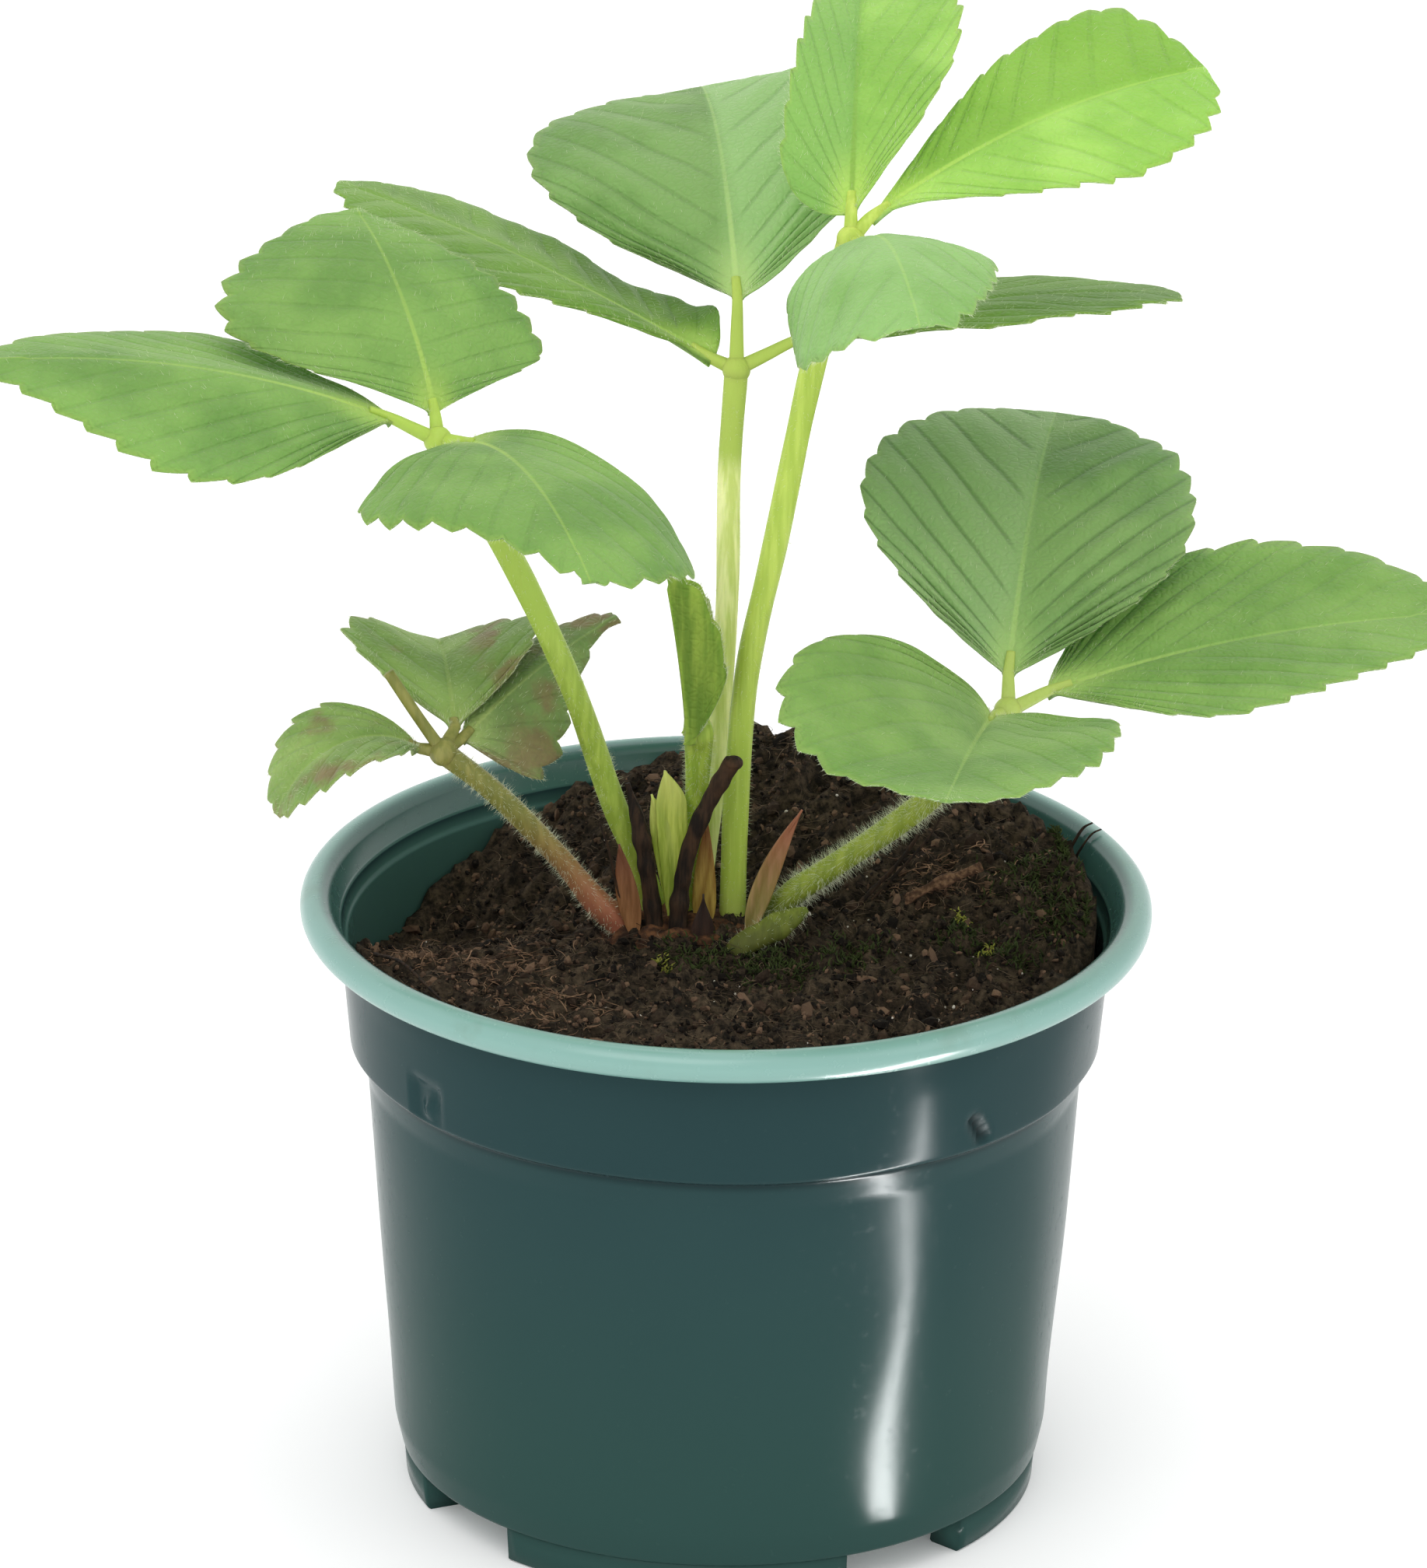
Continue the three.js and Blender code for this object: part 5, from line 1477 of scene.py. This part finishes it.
# %% [markdown]
# ## Light and floor
#
# A large soft light stands above and in front, weaker ones fill from the side and from above, and the white
# surroundings do the rest. The bright streak down the front of the pot is the mirror image of something low
# and bright, so a long narrow light lies just above the floor to the front right, out of the camera's sight.

# %% Light the scene
PLANT = Vector((0, 0, 0.12))
STREAK_FROM, STREAK_OUT, STREAK_HEADING = Vector((0.026, -0.043, 0.001)), 0.066, math.radians(-27)
SURROUNDINGS = 1.06


def area_light(name, place, size, power):
    """A rectangular light at place that faces the plant. Places are in metres and power in watts."""
    data = bpy.data.lights.new(name, "AREA")
    data.shape, data.size, data.size_y = "RECTANGLE", *size
    data.energy = power
    lamp = bpy.data.objects.new(name, data)
    lamp.location = place
    lamp.rotation_euler = (Vector(place) - PLANT).to_track_quat("Z", "Y").to_euler()
    lamp.visible_camera = False
    bpy.context.scene.collection.objects.link(lamp)
    return lamp


area_light("key_light", (-0.35, -0.9, 1.25), (0.9, 0.9), 4.5)
area_light("fill_light", (1.0, -0.5, 0.7), (0.8, 0.8), 1.2)
area_light("top_light", (0.1, 0.35, 1.3), (0.9, 0.9), 1.4)
streak_place = STREAK_FROM + STREAK_OUT * Vector((math.cos(STREAK_HEADING), math.sin(STREAK_HEADING), 0))
streak = area_light("streak_light", streak_place, (0.108, 0.006), 0.3)
streak.rotation_euler = (math.pi, 0, STREAK_HEADING)
streak.visible_diffuse = False

world = bpy.data.worlds.new("surroundings")
world.use_nodes = True
background = world.node_tree.nodes["Background"]
background.inputs["Color"].default_value = (1, 1, 1, 1)
background.inputs["Strength"].default_value = SURROUNDINGS
bpy.context.scene.world = world
bpy.context.scene.view_settings.view_transform = "Standard"
print("lights:", len(bpy.data.lights))

floor_mesh = bpy.data.meshes.new("floor")
floor_mesh.from_pydata([(-6, -6, 0), (6, -6, 0), (6, 6, 0), (-6, 6, 0)], [], [(0, 1, 2, 3)])
floor = bpy.data.objects.new("floor", floor_mesh)
bpy.context.scene.collection.objects.link(floor)
paper = Finish("pale_floor", roughness=0.8, specular_ior_level=0.2, emission_strength=0.12)
paper.colour(paper.mix(paper.noise(40), rgb(248, 248, 248), rgb(250, 250, 250)))
floor_mesh.materials.append(paper.material)
